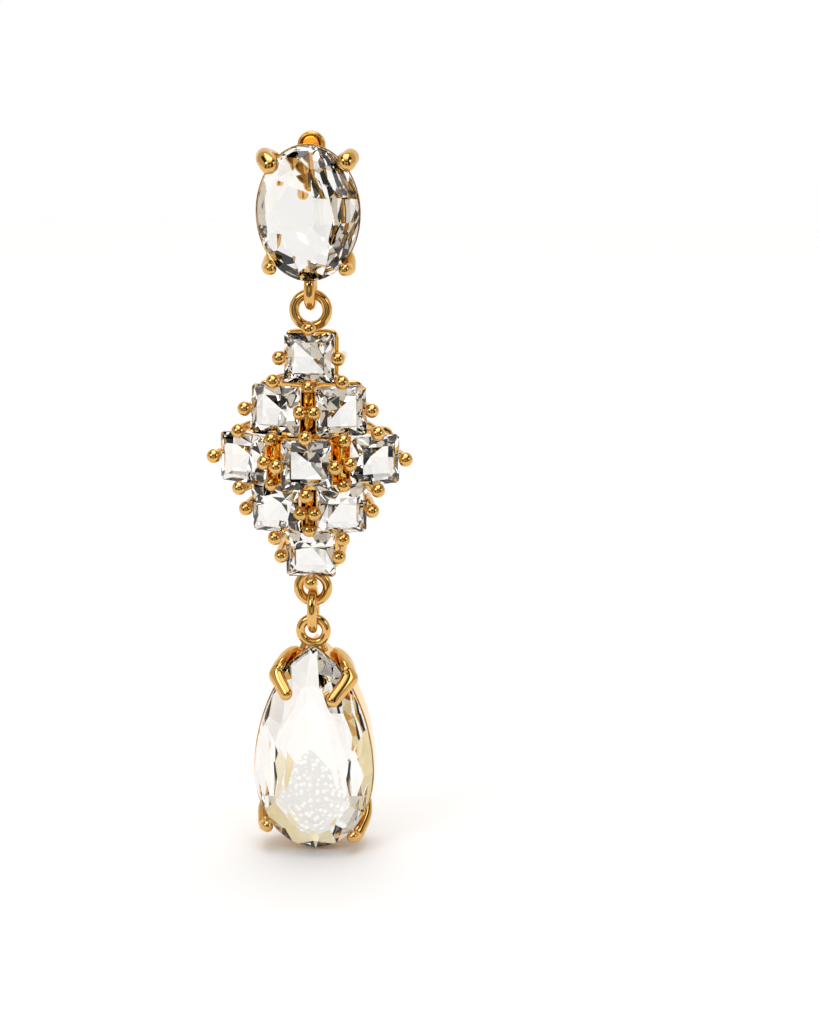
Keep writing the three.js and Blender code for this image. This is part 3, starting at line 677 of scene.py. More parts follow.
# %% [markdown]
# ## Rails and gallery plates
#
# Behind each stone runs a square rail. On the sides that face another stone a slanted plate goes
# from the rail up to the girdle, and these plates are the gold that shines in the gaps. Plain boxes
# would fill the gaps too, but with hard edges and one flat reflection each. Both shapes here are
# superellipses, |x|^n + |z|^n = r^n, which have flat sides and soft corners in one formula.

# %% Rails and gallery plates
RAIL = {"half": 2.26, "width": 0.5, "behind": 1.75, "depth": 0.8, "power": 9.0}
GALLERY = {"half": 1.98, "middle": 1.12, "half_depth": 0.8, "half_thick": 0.07}
GALLERY_OUT = 2.10
GALLERY_OUT_DEPTH = 0.35
GALLERY_SLOPE = 0.20
SOFTNESS = 0.4


def gallery(across):
    """A seat's slanted side behind the girdle, just clear of the stone: rings of a soft rectangle
    (depth, thickness), which close at both ends by the factor sqrt(1 - u^10)."""
    u = np.linspace(-1, 1, 25)[:, None]
    v = np.linspace(0, 2 * np.pi, 28, endpoint=False)[None]
    run = np.sqrt(np.clip(1 - u**10, 0, 1))
    wide = GALLERY["half"] * u * np.ones_like(v)
    deep = GALLERY["middle"] + GALLERY["half_depth"] * run * signed_power(np.cos(v), SOFTNESS)
    out = GALLERY_OUT - GALLERY_SLOPE * (deep - GALLERY_OUT_DEPTH)
    out = out + GALLERY["half_thick"] * run * signed_power(np.sin(v), SOFTNESS)
    c, s = heading(across)
    return np.stack([out * c - wide * s, deep, out * s + wide * c], -1), False, True


def rail():
    """A square loop with soft corners, |x|^n + |z|^n = r^n, with a soft rectangular section."""
    power = RAIL["power"]
    c, s = np.cos(TURN), np.sin(TURN)
    radius = (RAIL["half"] - RAIL["width"] / 2) / (np.abs(c) ** power + np.abs(s) ** power) ** (1 / power)
    y = np.full(RING_STEPS, RAIL["behind"] + RAIL["depth"] / 2)
    path = np.stack([radius * c, y, radius * s], -1)
    return sweep(path, (0, 1, 0), RAIL["depth"] / 2, RAIL["width"] / 2, 4.0, 20, closed=True), True, True


print("a gallery plate has", gallery(0)[0].shape[0] * gallery(0)[0].shape[1], "points")

# %% [markdown]
# ## Prongs
#
# Four stems rise beside each stone, one at the middle of each side, and each ends in a polished ball
# that holds the stone down. A cylinder joined to a sphere leaves a crease between them. Here the
# prong is one surface of rings, whose radius goes over softly from the stem's to the ball's, as the
# solder does.

# %% Prongs
PRONG = {"ball": 1.2, "stem": 0.8, "ahead": 0.56, "behind_rail": 0.25}
PRONG_SIDES = 24
BLEND = 8


def prong(across):
    """Rings along Y with the radius (ball^8 + stem^8)^(1/8). ball is sqrt(r^2 - d^2), d being the
    way from the ball's middle. From there back the rings move out to the stem by a smooth step."""
    radius = PRONG["ball"] / 2
    tilt = SQUARE_CROWN_TILT
    ball_out = SQUARE["half"] + (radius + SEAT_GAP - PRONG["ahead"] * np.cos(tilt)) / np.sin(tilt)
    stem_out = SQUARE["half"] + SEAT_GAP + PRONG["stem"] / 2
    middle = -SQUARE["girdle"] / 2 - PRONG["ahead"]
    back = RAIL["behind"] + RAIL["depth"] + PRONG["behind_rail"]
    front_half = middle - radius + radius * (1 - np.cos(np.linspace(0, np.pi / 2, 12)))
    neck = np.linspace(middle, middle + 1.3 * radius, 14)
    stem_rings = [0.4, 1.2, back - 0.05, back]
    y = np.unique(np.concatenate([front_half, 2 * middle - front_half[:-1], neck, stem_rings]))
    ball = np.sqrt(np.clip(radius**2 - (y - middle) ** 2, 1e-7, None))
    ball = np.where(y > middle + radius, 0.0, ball)
    stem = np.where(y < middle, 0.0, PRONG["stem"] / 2)
    size = (ball**BLEND + stem**BLEND) ** (1 / BLEND)
    size[-1] = 0.02
    out = ball_out + (stem_out - ball_out) * ease(np.clip((y - middle) / -middle, 0, 1))
    c, s = heading(across)
    path = np.stack([out * c, y, out * s], -1)
    angle = np.linspace(0, 2 * np.pi, PRONG_SIDES, endpoint=False)
    ring = np.stack([np.cos(angle), np.zeros(PRONG_SIDES), np.sin(angle)], -1)
    return path[:, None] + size[:, None, None] * ring[None], False, True


print("a prong has", prong(0)[0].shape[0], "rings")

# %% [markdown]
# ## Plates behind the gaps
#
# Two stones of a row stand apart, and a thick plate behind the gap ties their rails together. A
# cube with a bevel would do. A superellipsoid gives the same soft block in one formula, and it is
# turned to run from one rail to the other.

# %% Plates behind the gaps
WEB_THICKNESS = 1.8
WEB_OVERLAP = RAIL["width"] / 8
WEB_SOFTNESS = 0.3


def soft_block(start, end, thickness, height, overlap):
    """A block with rounded edges between two points: a superellipsoid, with cos and sin of both
    angles raised to a power under 1."""
    run = end - start
    length = np.hypot(run[0], run[1]) / 2 + overlap
    u = np.linspace(-np.pi / 2, np.pi / 2, 25)[:, None]
    v = np.linspace(0, 2 * np.pi, 48, endpoint=False)[None]
    flat = signed_power(np.cos(u), WEB_SOFTNESS)
    x = length * flat * signed_power(np.cos(v), WEB_SOFTNESS)
    y = thickness / 2 * flat * signed_power(np.sin(v), WEB_SOFTNESS)
    z = height / 2 * signed_power(np.sin(u), WEB_SOFTNESS) * np.ones_like(v)
    a = np.arctan2(run[1], run[0])
    grid = np.stack([x * np.cos(a) - y * np.sin(a), x * np.sin(a) + y * np.cos(a), z], -1)
    return grid + (start + end) / 2, False, True


def web(left, right):
    """The plate behind the gap between two stones of a row, from rail to rail."""
    behind = RAIL["behind"] + RAIL["depth"] - WEB_THICKNESS / 2
    reach = RAIL["half"] - RAIL["width"] / 2
    (turn_l, at_l), (turn_r, at_r) = standing(left), standing(right)
    start = turn_l @ np.array([reach, behind, 0]) + at_l
    end = turn_r @ np.array([-reach, behind, 0]) + at_r
    start[2] = end[2] = CLUSTER_Z + left[1] * ROW_STEP
    return soft_block(start, end, WEB_THICKNESS, ROW_STEP, WEB_OVERLAP)


neighbours = [(a, b) for a in DIAMOND for b in DIAMOND if b[1] == a[1] and b[0] == a[0] + 2]
print(len(neighbours), "gaps within rows")

# %% [markdown]
# ## The diamond's frame
#
# The real frame is cast and soldered as one, so all of its surfaces go into one object. Dozens of
# objects under a parent would look the same, but each would have to be told what it rides on. The
# rails lie rather deep. The inner prongs, the gallery plates and the webs lie deepest, and their
# recess values give them the most painted bounce light, a warmer gold.

# %% Diamond frame
# Share of painted bounce light on the rails
RAIL_PAINTED_BOUNCE = 0.6
frame_surfaces = []
# Inner prongs, gallery plates and webs get the full painted bounce light
for stone in DIAMOND:
    frame_surfaces.append(placed(rail(), stone, RAIL_PAINTED_BOUNCE))
    for across in (0, 90, 180, 270):
        frame_surfaces.append(placed(prong(across), stone, float(inner(stone, across))))
        if inner(stone, across):
            frame_surfaces.append(placed(gallery(across), stone, 1.0))
for left, right in neighbours:
    frame_surfaces.append(web(left, right) + (1.0,))
frame_surfaces.append(front_ring(**TOP_RING))
frame_surfaces.append(front_ring(**BOTTOM_RING))
surface_object("cluster_frame_gold", frame_surfaces, gold, "cluster", "cluster_frame")

# %% [markdown]
# ## Jump ring
#
# A plain jump ring joins the diamond to the pear. It is an oval loop of wire whose ends are butted
# and polished, so no joint shows and the same closed sweep makes it.

# %% Jump ring
surface_object("jump_ring_gold", [edge_loop(**JUMP_RING)], gold, "link", "jump_ring")

# %% [markdown]
# ## Pear setting
#
# The pear's wall is like the oval's. Its two upper claws are broad at the shoulder, fold over the
# edge and run slimmer down the crown, which a plain round wire can't show, so they use the bar's
# narrowing and a fanned end. Two short prongs hold the foot. The ring stands on two short legs of
# wire that run down beside the stone's point.

# %% Pear setting
LEG_HALF = 0.26
LEG_DROP = 0.85
# Each point of a leg: to its side, ahead of the rings' plane, and down from where it leaves the ring
LEG_ROUTE = ((0.72, 0.0, 0.0), (0.84, 0.1, 0.45), (1.12, 0.15, 0.95))


def ring_leg(side):
    """A short wire from the pear's ring down to the wall beside the stone's point."""
    top = PEAR_RING["centre"] - LEG_DROP
    points = [(side * out, HANG_Y - ahead, top - down) for out, ahead, down in LEG_ROUTE]
    return round_bar(points, (1, 0, 0), LEG_HALF, LEG_HALF, count=16, sides=16)


def pear_claw(edge, cross, root_at, **shape):
    """A claw of the pear's setting."""
    return claw(edge, cross, root_at, PEAR_SEAT, PEAR_CENTRE, **shape)


broad_claw = {"thick": 1.1, "wide": 2.4, "root": 1.0, "tip": 0.78, "narrow": 0.62, "fan": 0.6}
foot_claw = {"thick": 1.05, "wide": 1.1, "reach": 0.1, "drop": 0.25, "root": 0.85, "tip": 1.04}
pear_surfaces = [
    wall(pear_line, PEAR_SEAT, PEAR_CENTRE),
    pear_claw(left_side, PEAR_TOP - 1.95, PEAR_TOP - 1.85, reach=1.5, drop=1.6, **broad_claw),
    pear_claw(pear_side, PEAR_TOP - 2.05, PEAR_TOP - 1.9, reach=1.9, drop=1.7, **broad_claw),
    pear_claw(pear_foot, np.radians(221), np.radians(208), **foot_claw),
    pear_claw(pear_foot, np.radians(310), np.radians(332), **foot_claw),
    front_ring(**PEAR_RING),
    ring_leg(-1),
    ring_leg(1),
]
surface_object("pear_setting_gold", pear_surfaces, gold, "pear", "pear_setting")

# %% [markdown]
# ## Cut glass
#
# Clear crystal is glass with a high index, so facets throw light back sharply. Mixing glossy and
# transparent shaders would render faster, but only real refraction brings the back facets to the
# front. Its colour is almost nothing: a faint variation of tint and a trace of roughness stand for
# the polish of a machine cut stone. Two more glasses are for the pear's back. One is pressed with
# small scales, drawn by a cell noise. The other has a warm tone where gold lies close behind it:
# a painted reflection of that gold.

# %% Crystal materials
IOR = 1.56
CRYSTAL_ROUGHNESS = (0.0, 0.02)
CLEAR = ((0.35, 0.95, 0.935, 0.905), (0.65, 0.98, 0.97, 0.95))
# A gold tint: painted reflection of the gold wall close behind the pear's back facets
PAINTED_GOLD_REFLECTION = ((0.35, 0.56, 0.38, 0.11), (0.65, 0.80, 0.63, 0.29))
SCALES = ((0.28, 0.94, 0.94, 0.93), (0.5, 0.62, 0.615, 0.60))


def crystal_material(name, stops, scaled=False):
    """Glass with a tint between two stops and polish that isn't perfect. A noise leads the tint, or
    for the scaled glass the distance from the middles of a cell noise."""
    made, tree, shader, where = new_material(name)
    if scaled:
        sockets = {"Vector": where, "Scale": 2200.0, "Randomness": 0.8}
        pattern = add_node(tree, "ShaderNodeTexVoronoi", sockets).outputs["Distance"]
    else:
        pattern = noise(tree, where, 180.0)
    sockets = {
        "Metallic": 0.0,
        "Transmission Weight": 1.0,
        "IOR": IOR,
        "Base Color": colour_ramp(tree, pattern, *stops),
        "Roughness": spread(tree, noise(tree, where, 900.0), *CRYSTAL_ROUGHNESS),
    }
    fill(tree, shader, sockets)
    return made


crystal = crystal_material("cut_crystal", CLEAR)
crystal_scaled = crystal_material("cut_crystal_scaled", SCALES, scaled=True)
# Glass tinted gold, a painted reflection of the setting's gold
crystal_painted_gold = crystal_material("cut_crystal_painted_gold", PAINTED_GOLD_REFLECTION)
print("past", round(float(np.degrees(np.arcsin(1 / IOR))), 1), "degrees a facet reflects all light")

# %% [markdown]
# ## Cutting a stone
#
# A lapidary presses the stone on a flat wheel, once for each facet. The script does the same: it
# starts from a slab of the outline's form and cuts it with one plane after another, closing each
# cut with a flat face. A mesh made by hand from a facet diagram would not stay flat when a size
# changes. One rule keeps the outline whole: a plane behind the girdle is moved out until it leaves
# the edge alone. Faces stay unsmoothed, because every sparkle is one facet's direction.

# %% Cutting a stone
def facet(across, tilt, x, z, y, pavilion=False):
    """A plane as (point, normal): the normal leans from the table's axis by tilt towards across."""
    t = np.radians(tilt)
    c, s = heading(across)
    toward = np.cos(t) if pavilion else -np.cos(t)
    return np.array([x, y, z]), np.array([np.sin(t) * c, toward, np.sin(t) * s])


def behind_girdle(plane, outline, back, room=0.03):
    """The same plane, moved out along its normal n so far that (p - q).n is at most -room for each
    point p of the outline at the girdle's back: a facet behind the girdle never cuts the edge."""
    point, normal = plane
    edge = np.stack([outline[:, 0], np.full(len(outline), back), outline[:, 1]], -1)
    excess = ((edge - point) @ normal).max() + room * abs(normal[1])
    return point + normal * max(excess, 0.0), normal


def slab(outline, front, back):
    """A closed prism of the outline's form between two places in Y."""
    shell = bmesh.new()
    lower = [shell.verts.new((x, front, z)) for x, z in outline]
    upper = [shell.verts.new((x, back, z)) for x, z in outline]
    shell.faces.new(lower)
    shell.faces.new(upper[::-1])
    for i in range(len(lower)):
        k = (i + 1) % len(lower)
        shell.faces.new([lower[i], upper[i], upper[k], lower[k]])
    return shell


def cut_stone(name, outline, sizes, facets, rotation, place, body, node):
    """A slab with one cut for each facet, cleaned of slivers, then turned and put in its place."""
    shell = slab(outline, -sizes["girdle"] / 2 - sizes["crown"], sizes["girdle"] / 2 + sizes["pavilion"])
    for point, normal in facets:
        everything = shell.verts[:] + shell.edges[:] + shell.faces[:]
        cut = bmesh.ops.bisect_plane(
            shell, geom=everything, plane_co=point, plane_no=normal, dist=1e-5, clear_outer=True
        )
        rim = [e for e in cut["geom_cut"] if isinstance(e, bmesh.types.BMEdge)]
        if rim:
            bmesh.ops.contextual_create(shell, geom=rim)
    bmesh.ops.remove_doubles(shell, verts=shell.verts, dist=2e-4)
    bmesh.ops.dissolve_degenerate(shell, edges=shell.edges, dist=2e-4)
    bmesh.ops.recalc_face_normals(shell, faces=shell.faces)
    mesh = bpy.data.meshes.new(name)
    shell.to_mesh(mesh)
    shell.free()
    points = np.empty(len(mesh.vertices) * 3)
    mesh.vertices.foreach_get("co", points)
    points = points.reshape(-1, 3) @ np.asarray(rotation).T + place
    mesh.vertices.foreach_set("co", (points * MM).ravel())
    mesh.update()
    mesh.polygons.foreach_set("use_smooth", np.full(len(mesh.polygons), False))
    made = bpy.data.objects.new(name, mesh)
    bpy.context.scene.collection.objects.link(made)
    mesh.materials.append(crystal)
    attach(made, body)
    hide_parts(node)
    print(name, "has", len(mesh.polygons), "facets")
    return made


print("a plane behind the girdle leans towards +Y:", facet(0, 30, 0, 0, 0, True)[1].round(3))

# %% [markdown]
# ## The brilliant cut
#
# A brilliant has a table, star facets round it, main facets below them, and thin girdle facets at
# the edge. Behind the girdle come a steep row, two flatter rows, and a few long mains that meet in
# a keel. A main under about 40 degrees can be looked through, which makes the large bright panes in
# the middle. Facets could be spaced by direction, but then the pear's long sides, which all face
# one way, get a few slivers. Even steps along the edge give facets of one size all round.

# %% The brilliant cut
STAR_INSET = 1.12
MAIN_BACK = 0.05
FACES_DOWN = -0.7
ROW_STAGGER = 3


def stations(edge, count, first):
    """Places at even steps along an edge, each with the direction in degrees that it faces."""
    at, out = (np.concatenate([v, v[:1]]) for v in edge)
    length = np.concatenate([[0], np.cumsum(np.linalg.norm(np.diff(at, axis=0), axis=1))])
    where = (np.arange(count) + first) / count * length[-1]
    x, z, a, b = (np.interp(where, length, v[:, k]) for v in (at, unit(out)) for k in (0, 1))
    return list(zip(x, z, np.degrees(np.arctan2(b, a))))


def crown_facets(edge, sizes, tilts, count):
    """Planes in front of the girdle: girdle facets, and half as many mains and stars. A star's
    plane reaches the table's depth a little further in than the mains do."""
    crown, front = sizes["crown"], -sizes["girdle"] / 2
    inset = STAR_INSET * crown / np.tan(np.radians(tilts["main"]))
    planes = []
    for x, z, across in stations(edge, count, 0.5):
        planes.append(facet(across, tilts["upper_girdle"], x, z, front))
    for x, z, across in stations(edge, count // 2, 0.0):
        planes.append(facet(across, tilts["main"], x, z, front - MAIN_BACK))
    for x, z, across in stations(edge, count // 2, 0.5):
        c, s = heading(across)
        planes.append(facet(across, tilts["star"], x - inset * c, z - inset * s, front - crown))
    return planes


def pavilion_facets(edge, sizes, tilts, count, mains, rows):
    """Planes behind the girdle: a steep row, flatter where it faces down, then further rows, then
    the mains. A row is (count, first step, tilt, depth): its planes pass the edge at that depth
    behind the girdle, and every other one is steeper. A main is (direction, tilt, x, z): it passes
    the stone's full depth at that place."""
    back = sizes["girdle"] / 2
    planes = []
    for x, z, across in stations(edge, count, 0.5):
        lower = tilts["foot"] if heading(across)[1] < FACES_DOWN else tilts["lower_girdle"]
        planes.append(facet(across, lower, x, z, back, True))
    for row_count, first, tilt, depth in rows:
        for i, (x, z, across) in enumerate(stations(edge, row_count, first)):
            planes.append(facet(across, tilt + ROW_STAGGER * (i % 2), x, z, back + depth, True))
    for across, tilt, x, z in mains:
        planes.append(facet(across, tilt, x, z, back + sizes["pavilion"], True))
    return [behind_girdle(plane, edge[0], back) for plane in planes]


print("first of 18 places on the oval's edge:", np.round(stations(oval_line, 18, 0.5)[0], 2))

# %% [markdown]
# ## Oval stone
#
# One wide flat main looks through to the white behind, left of the middle, and steeper ones to its
# right throw back the dark and gold of the room. The keel lies a little right of the middle.
# Equal mains all round would be easier, but they would split the stone into even wedges.

# %% Oval stone
KEEL_X = 0.3
oval_outline, _ = oval_edge(np.linspace(0, 2 * np.pi, 64, endpoint=False))
oval_tilts = {"upper_girdle": 43, "main": 36, "star": 20, "lower_girdle": 54, "foot": 33}
oval_mains = [
    (180, 17, KEEL_X, 0.0),
    (28, 34, KEEL_X, 0.6),
    (2, 31, KEEL_X, 0.0),
    (336, 35, KEEL_X, -0.7),
    (236, 24, KEEL_X, -1.4),
    (300, 30, KEEL_X, -1.4),
    (118, 20, KEEL_X, 1.3),
    (62, 19, KEEL_X, 1.3),
]
oval_rows = [(16, 0.25, 44, 0.35), (12, 0.1, 36, 0.70)]
oval_planes = crown_facets(oval_line, OVAL, oval_tilts, 18)
oval_planes += pavilion_facets(oval_line, OVAL, oval_tilts, 18, oval_mains, oval_rows)
cut_stone("oval_stone_cut", oval_outline, OVAL, oval_planes, np.eye(3), OVAL_CENTRE, "top", "oval_stone")

# %% [markdown]
# ## Pear stone
#
# The pear's back has one broad flat facet low down, two pairs of side mains, and a fan of narrow
# facets that spread from the point. The fan's planes all pass one place below the point at one
# depth. They could be listed by hand as well, but the loop keeps them meeting there.

# %% Pear stone
APEX = (-0.7, 4.7)
FAN = ((152, 19), (124, 17), (98, 16), (72, 17), (47, 18), (22, 20))
FAN_BELOW_POINT = 1.1
FAN_SHALLOWER = 1.8
pear_outline, _ = pear_edge(14, 26)
pear_tilts = {"upper_girdle": 44, "main": 37, "star": 21, "lower_girdle": 55, "foot": 32}
pear_mains = [
    (268, 10.5, *APEX),
    (182, 33, *APEX),
    (357, 30, *APEX),
    (212, 33, -1.6, -2.0),
    (330, 32, 1.0, -2.0),
]
for across, tilt in FAN:
    c, s = heading(across)
    reach = FAN_SHALLOWER / np.tan(np.radians(tilt))
    pear_mains.append((across, tilt, -reach * c, PEAR_TOP - FAN_BELOW_POINT - reach * s))
pear_rows = [(22, 0.25, 44, 0.45), (16, 0.1, 36, 0.80)]
pear_planes = crown_facets(pear_line, PEAR, pear_tilts, 24)
pear_planes += pavilion_facets(pear_line, PEAR, pear_tilts, 24, pear_mains, pear_rows)
pear_cut = cut_stone(
    "pear_stone_cut", pear_outline, PEAR, pear_planes, np.eye(3), PEAR_CENTRE, "pear", "pear_stone"
)

# %% [markdown]
# ## Scales and painted gold reflection behind the pear
#
# The broad flat facet is pressed with scales, and the facets at the foot and low on the left get a
# painted reflection of the wall's gold. Painting the scales as an image would need a picture file. A
# material for each kind of facet is enough, and a facet's own direction and place say which kind it is.

# %% Scales and painted gold reflection
SCALED, PAINTED_GOLD_INDEX = 1, 2
FLAT_BACK = 0.95
FACES_BACK = 0.1
FOOT_LEAN = -0.4
GOLD_REFLECTION_PATCH = {"right_end": -2.6, "lean": -0.5, "low": -3.0, "high": 3.5}


def face_values(mesh, name):
    """One vector for each face, such as its center or its normal."""
    values = np.empty(len(mesh.polygons) * 3, np.float32)
    mesh.polygons.foreach_get(name, values)
    return values.reshape(-1, 3)


def pear_scales_and_painted_gold(mesh):
    """Gives each face its glass: flat ones that face back and down are scaled, and those behind
    that face down, or left beside the middle, get the gold tint of a painted reflection."""
    x, _, z = face_values(mesh, "center").T / MM
    toward_x, toward_y, toward_z = face_values(mesh, "normal").T
    height = z - PEAR_CENTRE[2]
    flat = (toward_y > FLAT_BACK) & (toward_z < 0)
    at_left = (x < GOLD_REFLECTION_PATCH["right_end"]) & (toward_x < GOLD_REFLECTION_PATCH["lean"])
    at_left = at_left & (height > GOLD_REFLECTION_PATCH["low"]) & (height < GOLD_REFLECTION_PATCH["high"])
    # Facets that get the painted reflection of the gold wall
    reflects_gold = (toward_y > FACES_BACK) & ((toward_z < FOOT_LEAN) | at_left)
    scales_or_painted_gold = np.where(flat, SCALED, np.where(reflects_gold, PAINTED_GOLD_INDEX, 0))
    mesh.polygons.foreach_set("material_index", scales_or_painted_gold.astype(np.int32))
    print(int(flat.sum()), "scaled and", int((reflects_gold & ~flat).sum()), "gilt facets")


# Second glass for the scales, third for the painted gold reflection
pear_cut.data.materials.append(crystal_scaled)
pear_cut.data.materials.append(crystal_painted_gold)
pear_scales_and_painted_gold(pear_cut.data)

# %% [markdown]
# ## Square stones
#
# A square cut shows a cross from corner to corner, made of nested chevrons behind the girdle. Each
# chevron is a pair of facets turned a little to either side of the stone's edge, and it passes
# through the corners, so the edge stays straight. The nearer a pair is to the culet, the flatter it
# lies and the more it is turned. One step cut facet a side would be simpler, but it shows a pyramid
# and no cross. The slab is a little deeper than the part's solid, so the culet comes to a point.

# %% Square stones
CULET_EXTRA = 0.25
CORNER_TABLE = 1.2
CORNER_TILT = 22
# Each chevron: how far its facets turn from the side, their tilt, and their depth at the corners
CHEVRONS = ((6, 62, 0.02), (12, 50, 0.10), (18, 38, 0.42))


def support(at, across):
    """The point of an outline that lies furthest out in a direction."""
    return at[np.argmax(at @ np.array(heading(across)))]


def square_outline():
    """A square with its corners cut: (h, c-h) and (h, h-c), then a quarter turn three times."""
    h, c = SQUARE["half"], SQUARE["corner"] * np.sqrt(2)
    pair = np.array([(h, c - h), (h, h - c)])
    quarter = np.array([[0, 1], [-1, 0]])
    return np.concatenate([pair @ np.linalg.matrix_power(quarter, k) for k in range(4)])


def square_facets(outline):
    """Planes of a square cut. A pair's planes pass the corners at a stated depth."""
    half, front, back = SQUARE["half"], -SQUARE["girdle"] / 2, SQUARE["girdle"] / 2
    tilt = np.degrees(SQUARE_CROWN_TILT)
    corner = (half - SQUARE["corner"] / np.sqrt(2)) * np.sqrt(2)
    table = CORNER_TABLE * np.sqrt(2)
    planes = []
    for side in (0, 90, 180, 270):
        c, s = heading(side)
        planes.append(facet(side, tilt, half * c, half * s, front))
        c, s = heading(side + 45)
        planes.append(facet(side + 45, tilt, corner * c, corner * s, front))
        planes.append(facet(side + 45, CORNER_TILT, table * c, table * s, front - SQUARE["crown"]))
        for turn, chevron_tilt, depth in CHEVRONS:
            for across in (side - turn, side + turn):
                x, z = support(outline, across)
                planes.append(facet(across, chevron_tilt, x, z, back + depth, True))
    return planes


square_line = square_outline()
square_slab = {**SQUARE, "pavilion": SQUARE["pavilion"] + CULET_EXTRA}
for number, stone in enumerate(DIAMOND, 1):
    node = f"square_stone_{number}"
    planes = square_facets(square_line)
    cut_stone(node + "_cut", square_line, square_slab, planes, *standing(stone), "cluster", node)

# %% [markdown]
# ## Floor
#
# The earring hangs just over a white table, which catches its soft shadow. A curved paper backdrop
# is the usual studio way, but it would stand in the way of a view from behind. A flat sheet is
# enough, because past its far edge the world is nearly as white. Its sizes are in metres.

# %% Floor
FLOOR = {"half_x": 0.9, "near": -0.075, "far": 0.30, "below": 0.00025}
FLOOR_COLOUR = (0.93, 0.935, 0.95, 1)
FLOOR_ROUGHNESS = 0.6


def floor():
    """A pale flat table under the earring."""
    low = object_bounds()[0][2] - FLOOR["below"]
    x, near, far = FLOOR["half_x"], FLOOR["near"], FLOOR["far"]
    mesh = bpy.data.meshes.new("floor")
    mesh.from_pydata([(-x, near, low), (x, near, low), (x, far, low), (-x, far, low)], [], [(0, 1, 2, 3)])
    made = bpy.data.objects.new("floor", mesh)
    bpy.context.scene.collection.objects.link(made)
    paint = bpy.data.materials.new("white_table")
    paint.use_nodes = True
    shader = paint.node_tree.nodes["Principled BSDF"]
    fill(paint.node_tree, shader, {"Base Color": FLOOR_COLOUR, "Roughness": FLOOR_ROUGHNESS})
    mesh.materials.append(paint)
    made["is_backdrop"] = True
    print("floor at", round(float(low), 5), "m")


floor()

# %% [markdown]
# ## The light tent
#
# Jewellery is photographed in a white tent with a few dark cards, because gold and glass show only
# what stands round them. Lamps alone would leave them nearly black. Here the world is the tent, a
# brightness for each direction: a warm grey room, a white wall behind, and bright cards above and
# at the upper corners. Dark seams to the left, right, above and below in front, and two dark cards
# ahead, draw the dark lines in the gold and the dark facets in the stones.

# %% The light tent
ROOM = (0.66, 0.60, 0.51, 1)
SEAM_LEVEL = 0.03
OUTSIDE, INSIDE = 0.05, 0.02
# Each seam: the direction that it is measured along, its middle there and its half width. It fades
# from OUTSIDE that width to INSIDE it.
SEAMS = [
    ((1, 0.07, 0), 0.60, 0.16),
    ((-1, -0.07, 0), 0.64, 0.13),
    ((0, -0.27, 0.96), -0.62, 0.12),
    ((0, -0.27, 0.96), 0.62, 0.08),
]
# Each card: its direction, the angles to its full and to its faded edge, and its level
CARDS = [
    ((0.0, 1.0, -0.1), 48, 66, 1.0),
    ((0.0, -0.25, 0.97), 24, 33, 1.8),
    ((0.05, -0.94, -0.34), 10, 18, 0.08),
    ((-0.55, -0.66, 0.50), 11, 15, 3.5),
    ((0.82, -0.42, 0.38), 8, 12, 2.4),
    ((0.07, -0.96, 0.27), 6, 11, 0.04),
]


def soft_step(tree, value, low, high):
    """A mask that goes from 0 at low to 1 at high."""
    mask = tree.nodes.new("ShaderNodeMapRange")
    mask.interpolation_type = "SMOOTHSTEP"
    return fill(tree, mask, {"Value": value, "From Min": low, "From Max": high}).outputs["Result"]


def alignment(tree, where, direction):
    """How far the looked at direction lies along another one: their dot product."""
    dot = tree.nodes.new("ShaderNodeVectorMath")
    dot.operation = "DOT_PRODUCT"
    return fill(tree, dot, {0: where, 1: unit(np.array(direction, float))}).outputs["Value"]


def product(tree, first, second):
    """One value times another."""
    times = tree.nodes.new("ShaderNodeMath")
    times.operation = "MULTIPLY"
    return fill(tree, times, {0: first, 1: second}).outputs["Value"]


def tent():
    """World light by direction: the room, then each seam and card laid over it by a soft mask.
    A card is a cone round a direction. A seam is a dark band between two planes in front."""
    world = bpy.data.worlds.new("tent")
    bpy.context.scene.world = world
    world.use_nodes = True
    tree = world.node_tree
    where = tree.nodes.new("ShaderNodeTexCoord").outputs["Generated"]
    room = tree.nodes.new("ShaderNodeRGB")
    room.outputs[0].default_value = ROOM
    level = room.outputs[0]
    in_front = soft_step(tree, alignment(tree, where, (0, -1, 0)), -0.25, 0.05)
    for direction, middle, half in SEAMS:
        value = alignment(tree, where, direction)
        rise = soft_step(tree, value, middle - half - OUTSIDE, middle - half + INSIDE)
        fall = soft_step(tree, value, middle + half + OUTSIDE, middle + half - INSIDE)
        band = product(tree, in_front, product(tree, rise, fall))
        level = mixed(tree, level, (SEAM_LEVEL, SEAM_LEVEL, SEAM_LEVEL, 1), band)
    for direction, full, faded, brightness in CARDS:
        value = alignment(tree, where, direction)
        cone = soft_step(tree, value, np.cos(np.radians(faded)), np.cos(np.radians(full)))
        level = mixed(tree, level, (brightness, brightness, brightness, 1), cone)
    fill(tree, tree.nodes["Background"], {"Color": level, "Strength": 1.0})
    print("tent of", len(SEAMS), "seams and", len(CARDS), "cards")


tent()

# %% [markdown]
# ## Overhead light
#
# The tent lights everything from all round, which leaves no shadow. One soft square lamp over the
# earring gives the table its pale shadow. A sun would draw it too sharp.

# %% Overhead light
LAMP = {"place": (0.0, 0.02, 0.45), "aim": (0, 0, -0.06), "size": 0.30, "power": 0.8}


def to_rotation(direction):
    """Turns -Z towards direction, with Y up."""
    return Vector(direction).to_track_quat("-Z", "Y").to_euler()


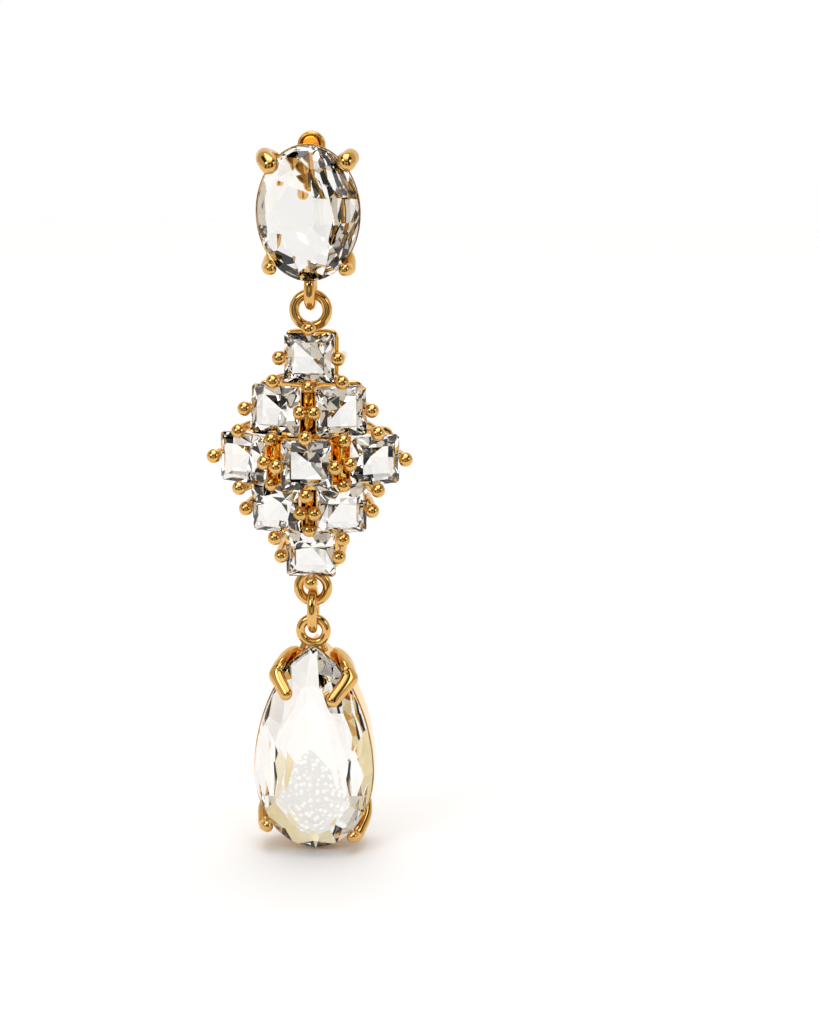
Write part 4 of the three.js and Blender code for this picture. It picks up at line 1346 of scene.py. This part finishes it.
def soft_light(name, place, aim, size, power):
    """A square soft light at place, turned to aim, in metres and watts."""
    lamp = bpy.data.lights.new(name, "AREA")
    lamp.shape = "SQUARE"
    lamp.size = size
    lamp.energy = power
    made = bpy.data.objects.new(name, lamp)
    made.location = place
    made.rotation_euler = to_rotation(np.array(aim, float) - np.array(place, float))
    bpy.context.scene.collection.objects.link(made)
    print(name, "lamp of", power, "W")


soft_light("overhead", **LAMP)

# %% [markdown]
# ## Camera
#
# The picture is taken from a little above and a little to the right, from about 26 cm. The earring
# stands left of the picture's middle. A lens shift could put it there, but the camera is simply
# aimed at the picture's middle, which works from any other side too.

# %% Camera
PICTURE_WIDTH, PICTURE_HEIGHT = 819, 1024
SEEN_X, SEEN_Y = 311.7, 490.0
PIXELS_PER_MM = 12.0
ON_EARRING = np.array([0.0, -5.2, -28.2])
AZIMUTH, ELEVATION = np.radians(4.2), np.radians(15.4)
DISTANCE = 260.0
SENSOR = 36.0


def camera():
    """A camera that sees the place ON_EARRING at the pixel (SEEN_X, SEEN_Y)."""
    flat = np.cos(ELEVATION)
    back = np.array([np.sin(AZIMUTH) * flat, -np.cos(AZIMUTH) * flat, np.sin(ELEVATION)])
    right = unit(np.cross(-back, [0, 0, 1.0]))
    up = np.cross(right, -back)
    aim = ON_EARRING + right * (PICTURE_WIDTH / 2 - SEEN_X) / PIXELS_PER_MM
    aim = aim + up * (SEEN_Y - PICTURE_HEIGHT / 2) / PIXELS_PER_MM
    lens = bpy.data.cameras.new("camera")
    lens.sensor_fit = "VERTICAL"
    lens.sensor_height = SENSOR
    lens.lens = PIXELS_PER_MM * DISTANCE / PICTURE_HEIGHT * SENSOR
    lens.clip_start = 0.01
    lens.clip_end = 10.0
    made = bpy.data.objects.new("camera", lens)
    made.location = (aim + back * DISTANCE) * MM
    made.rotation_euler = to_rotation(-back)
    bpy.context.scene.collection.objects.link(made)
    bpy.context.scene.camera = made
    print("lens of", round(lens.lens, 1), "mm")


camera()
bpy.context.scene.view_settings.view_transform = "Standard"
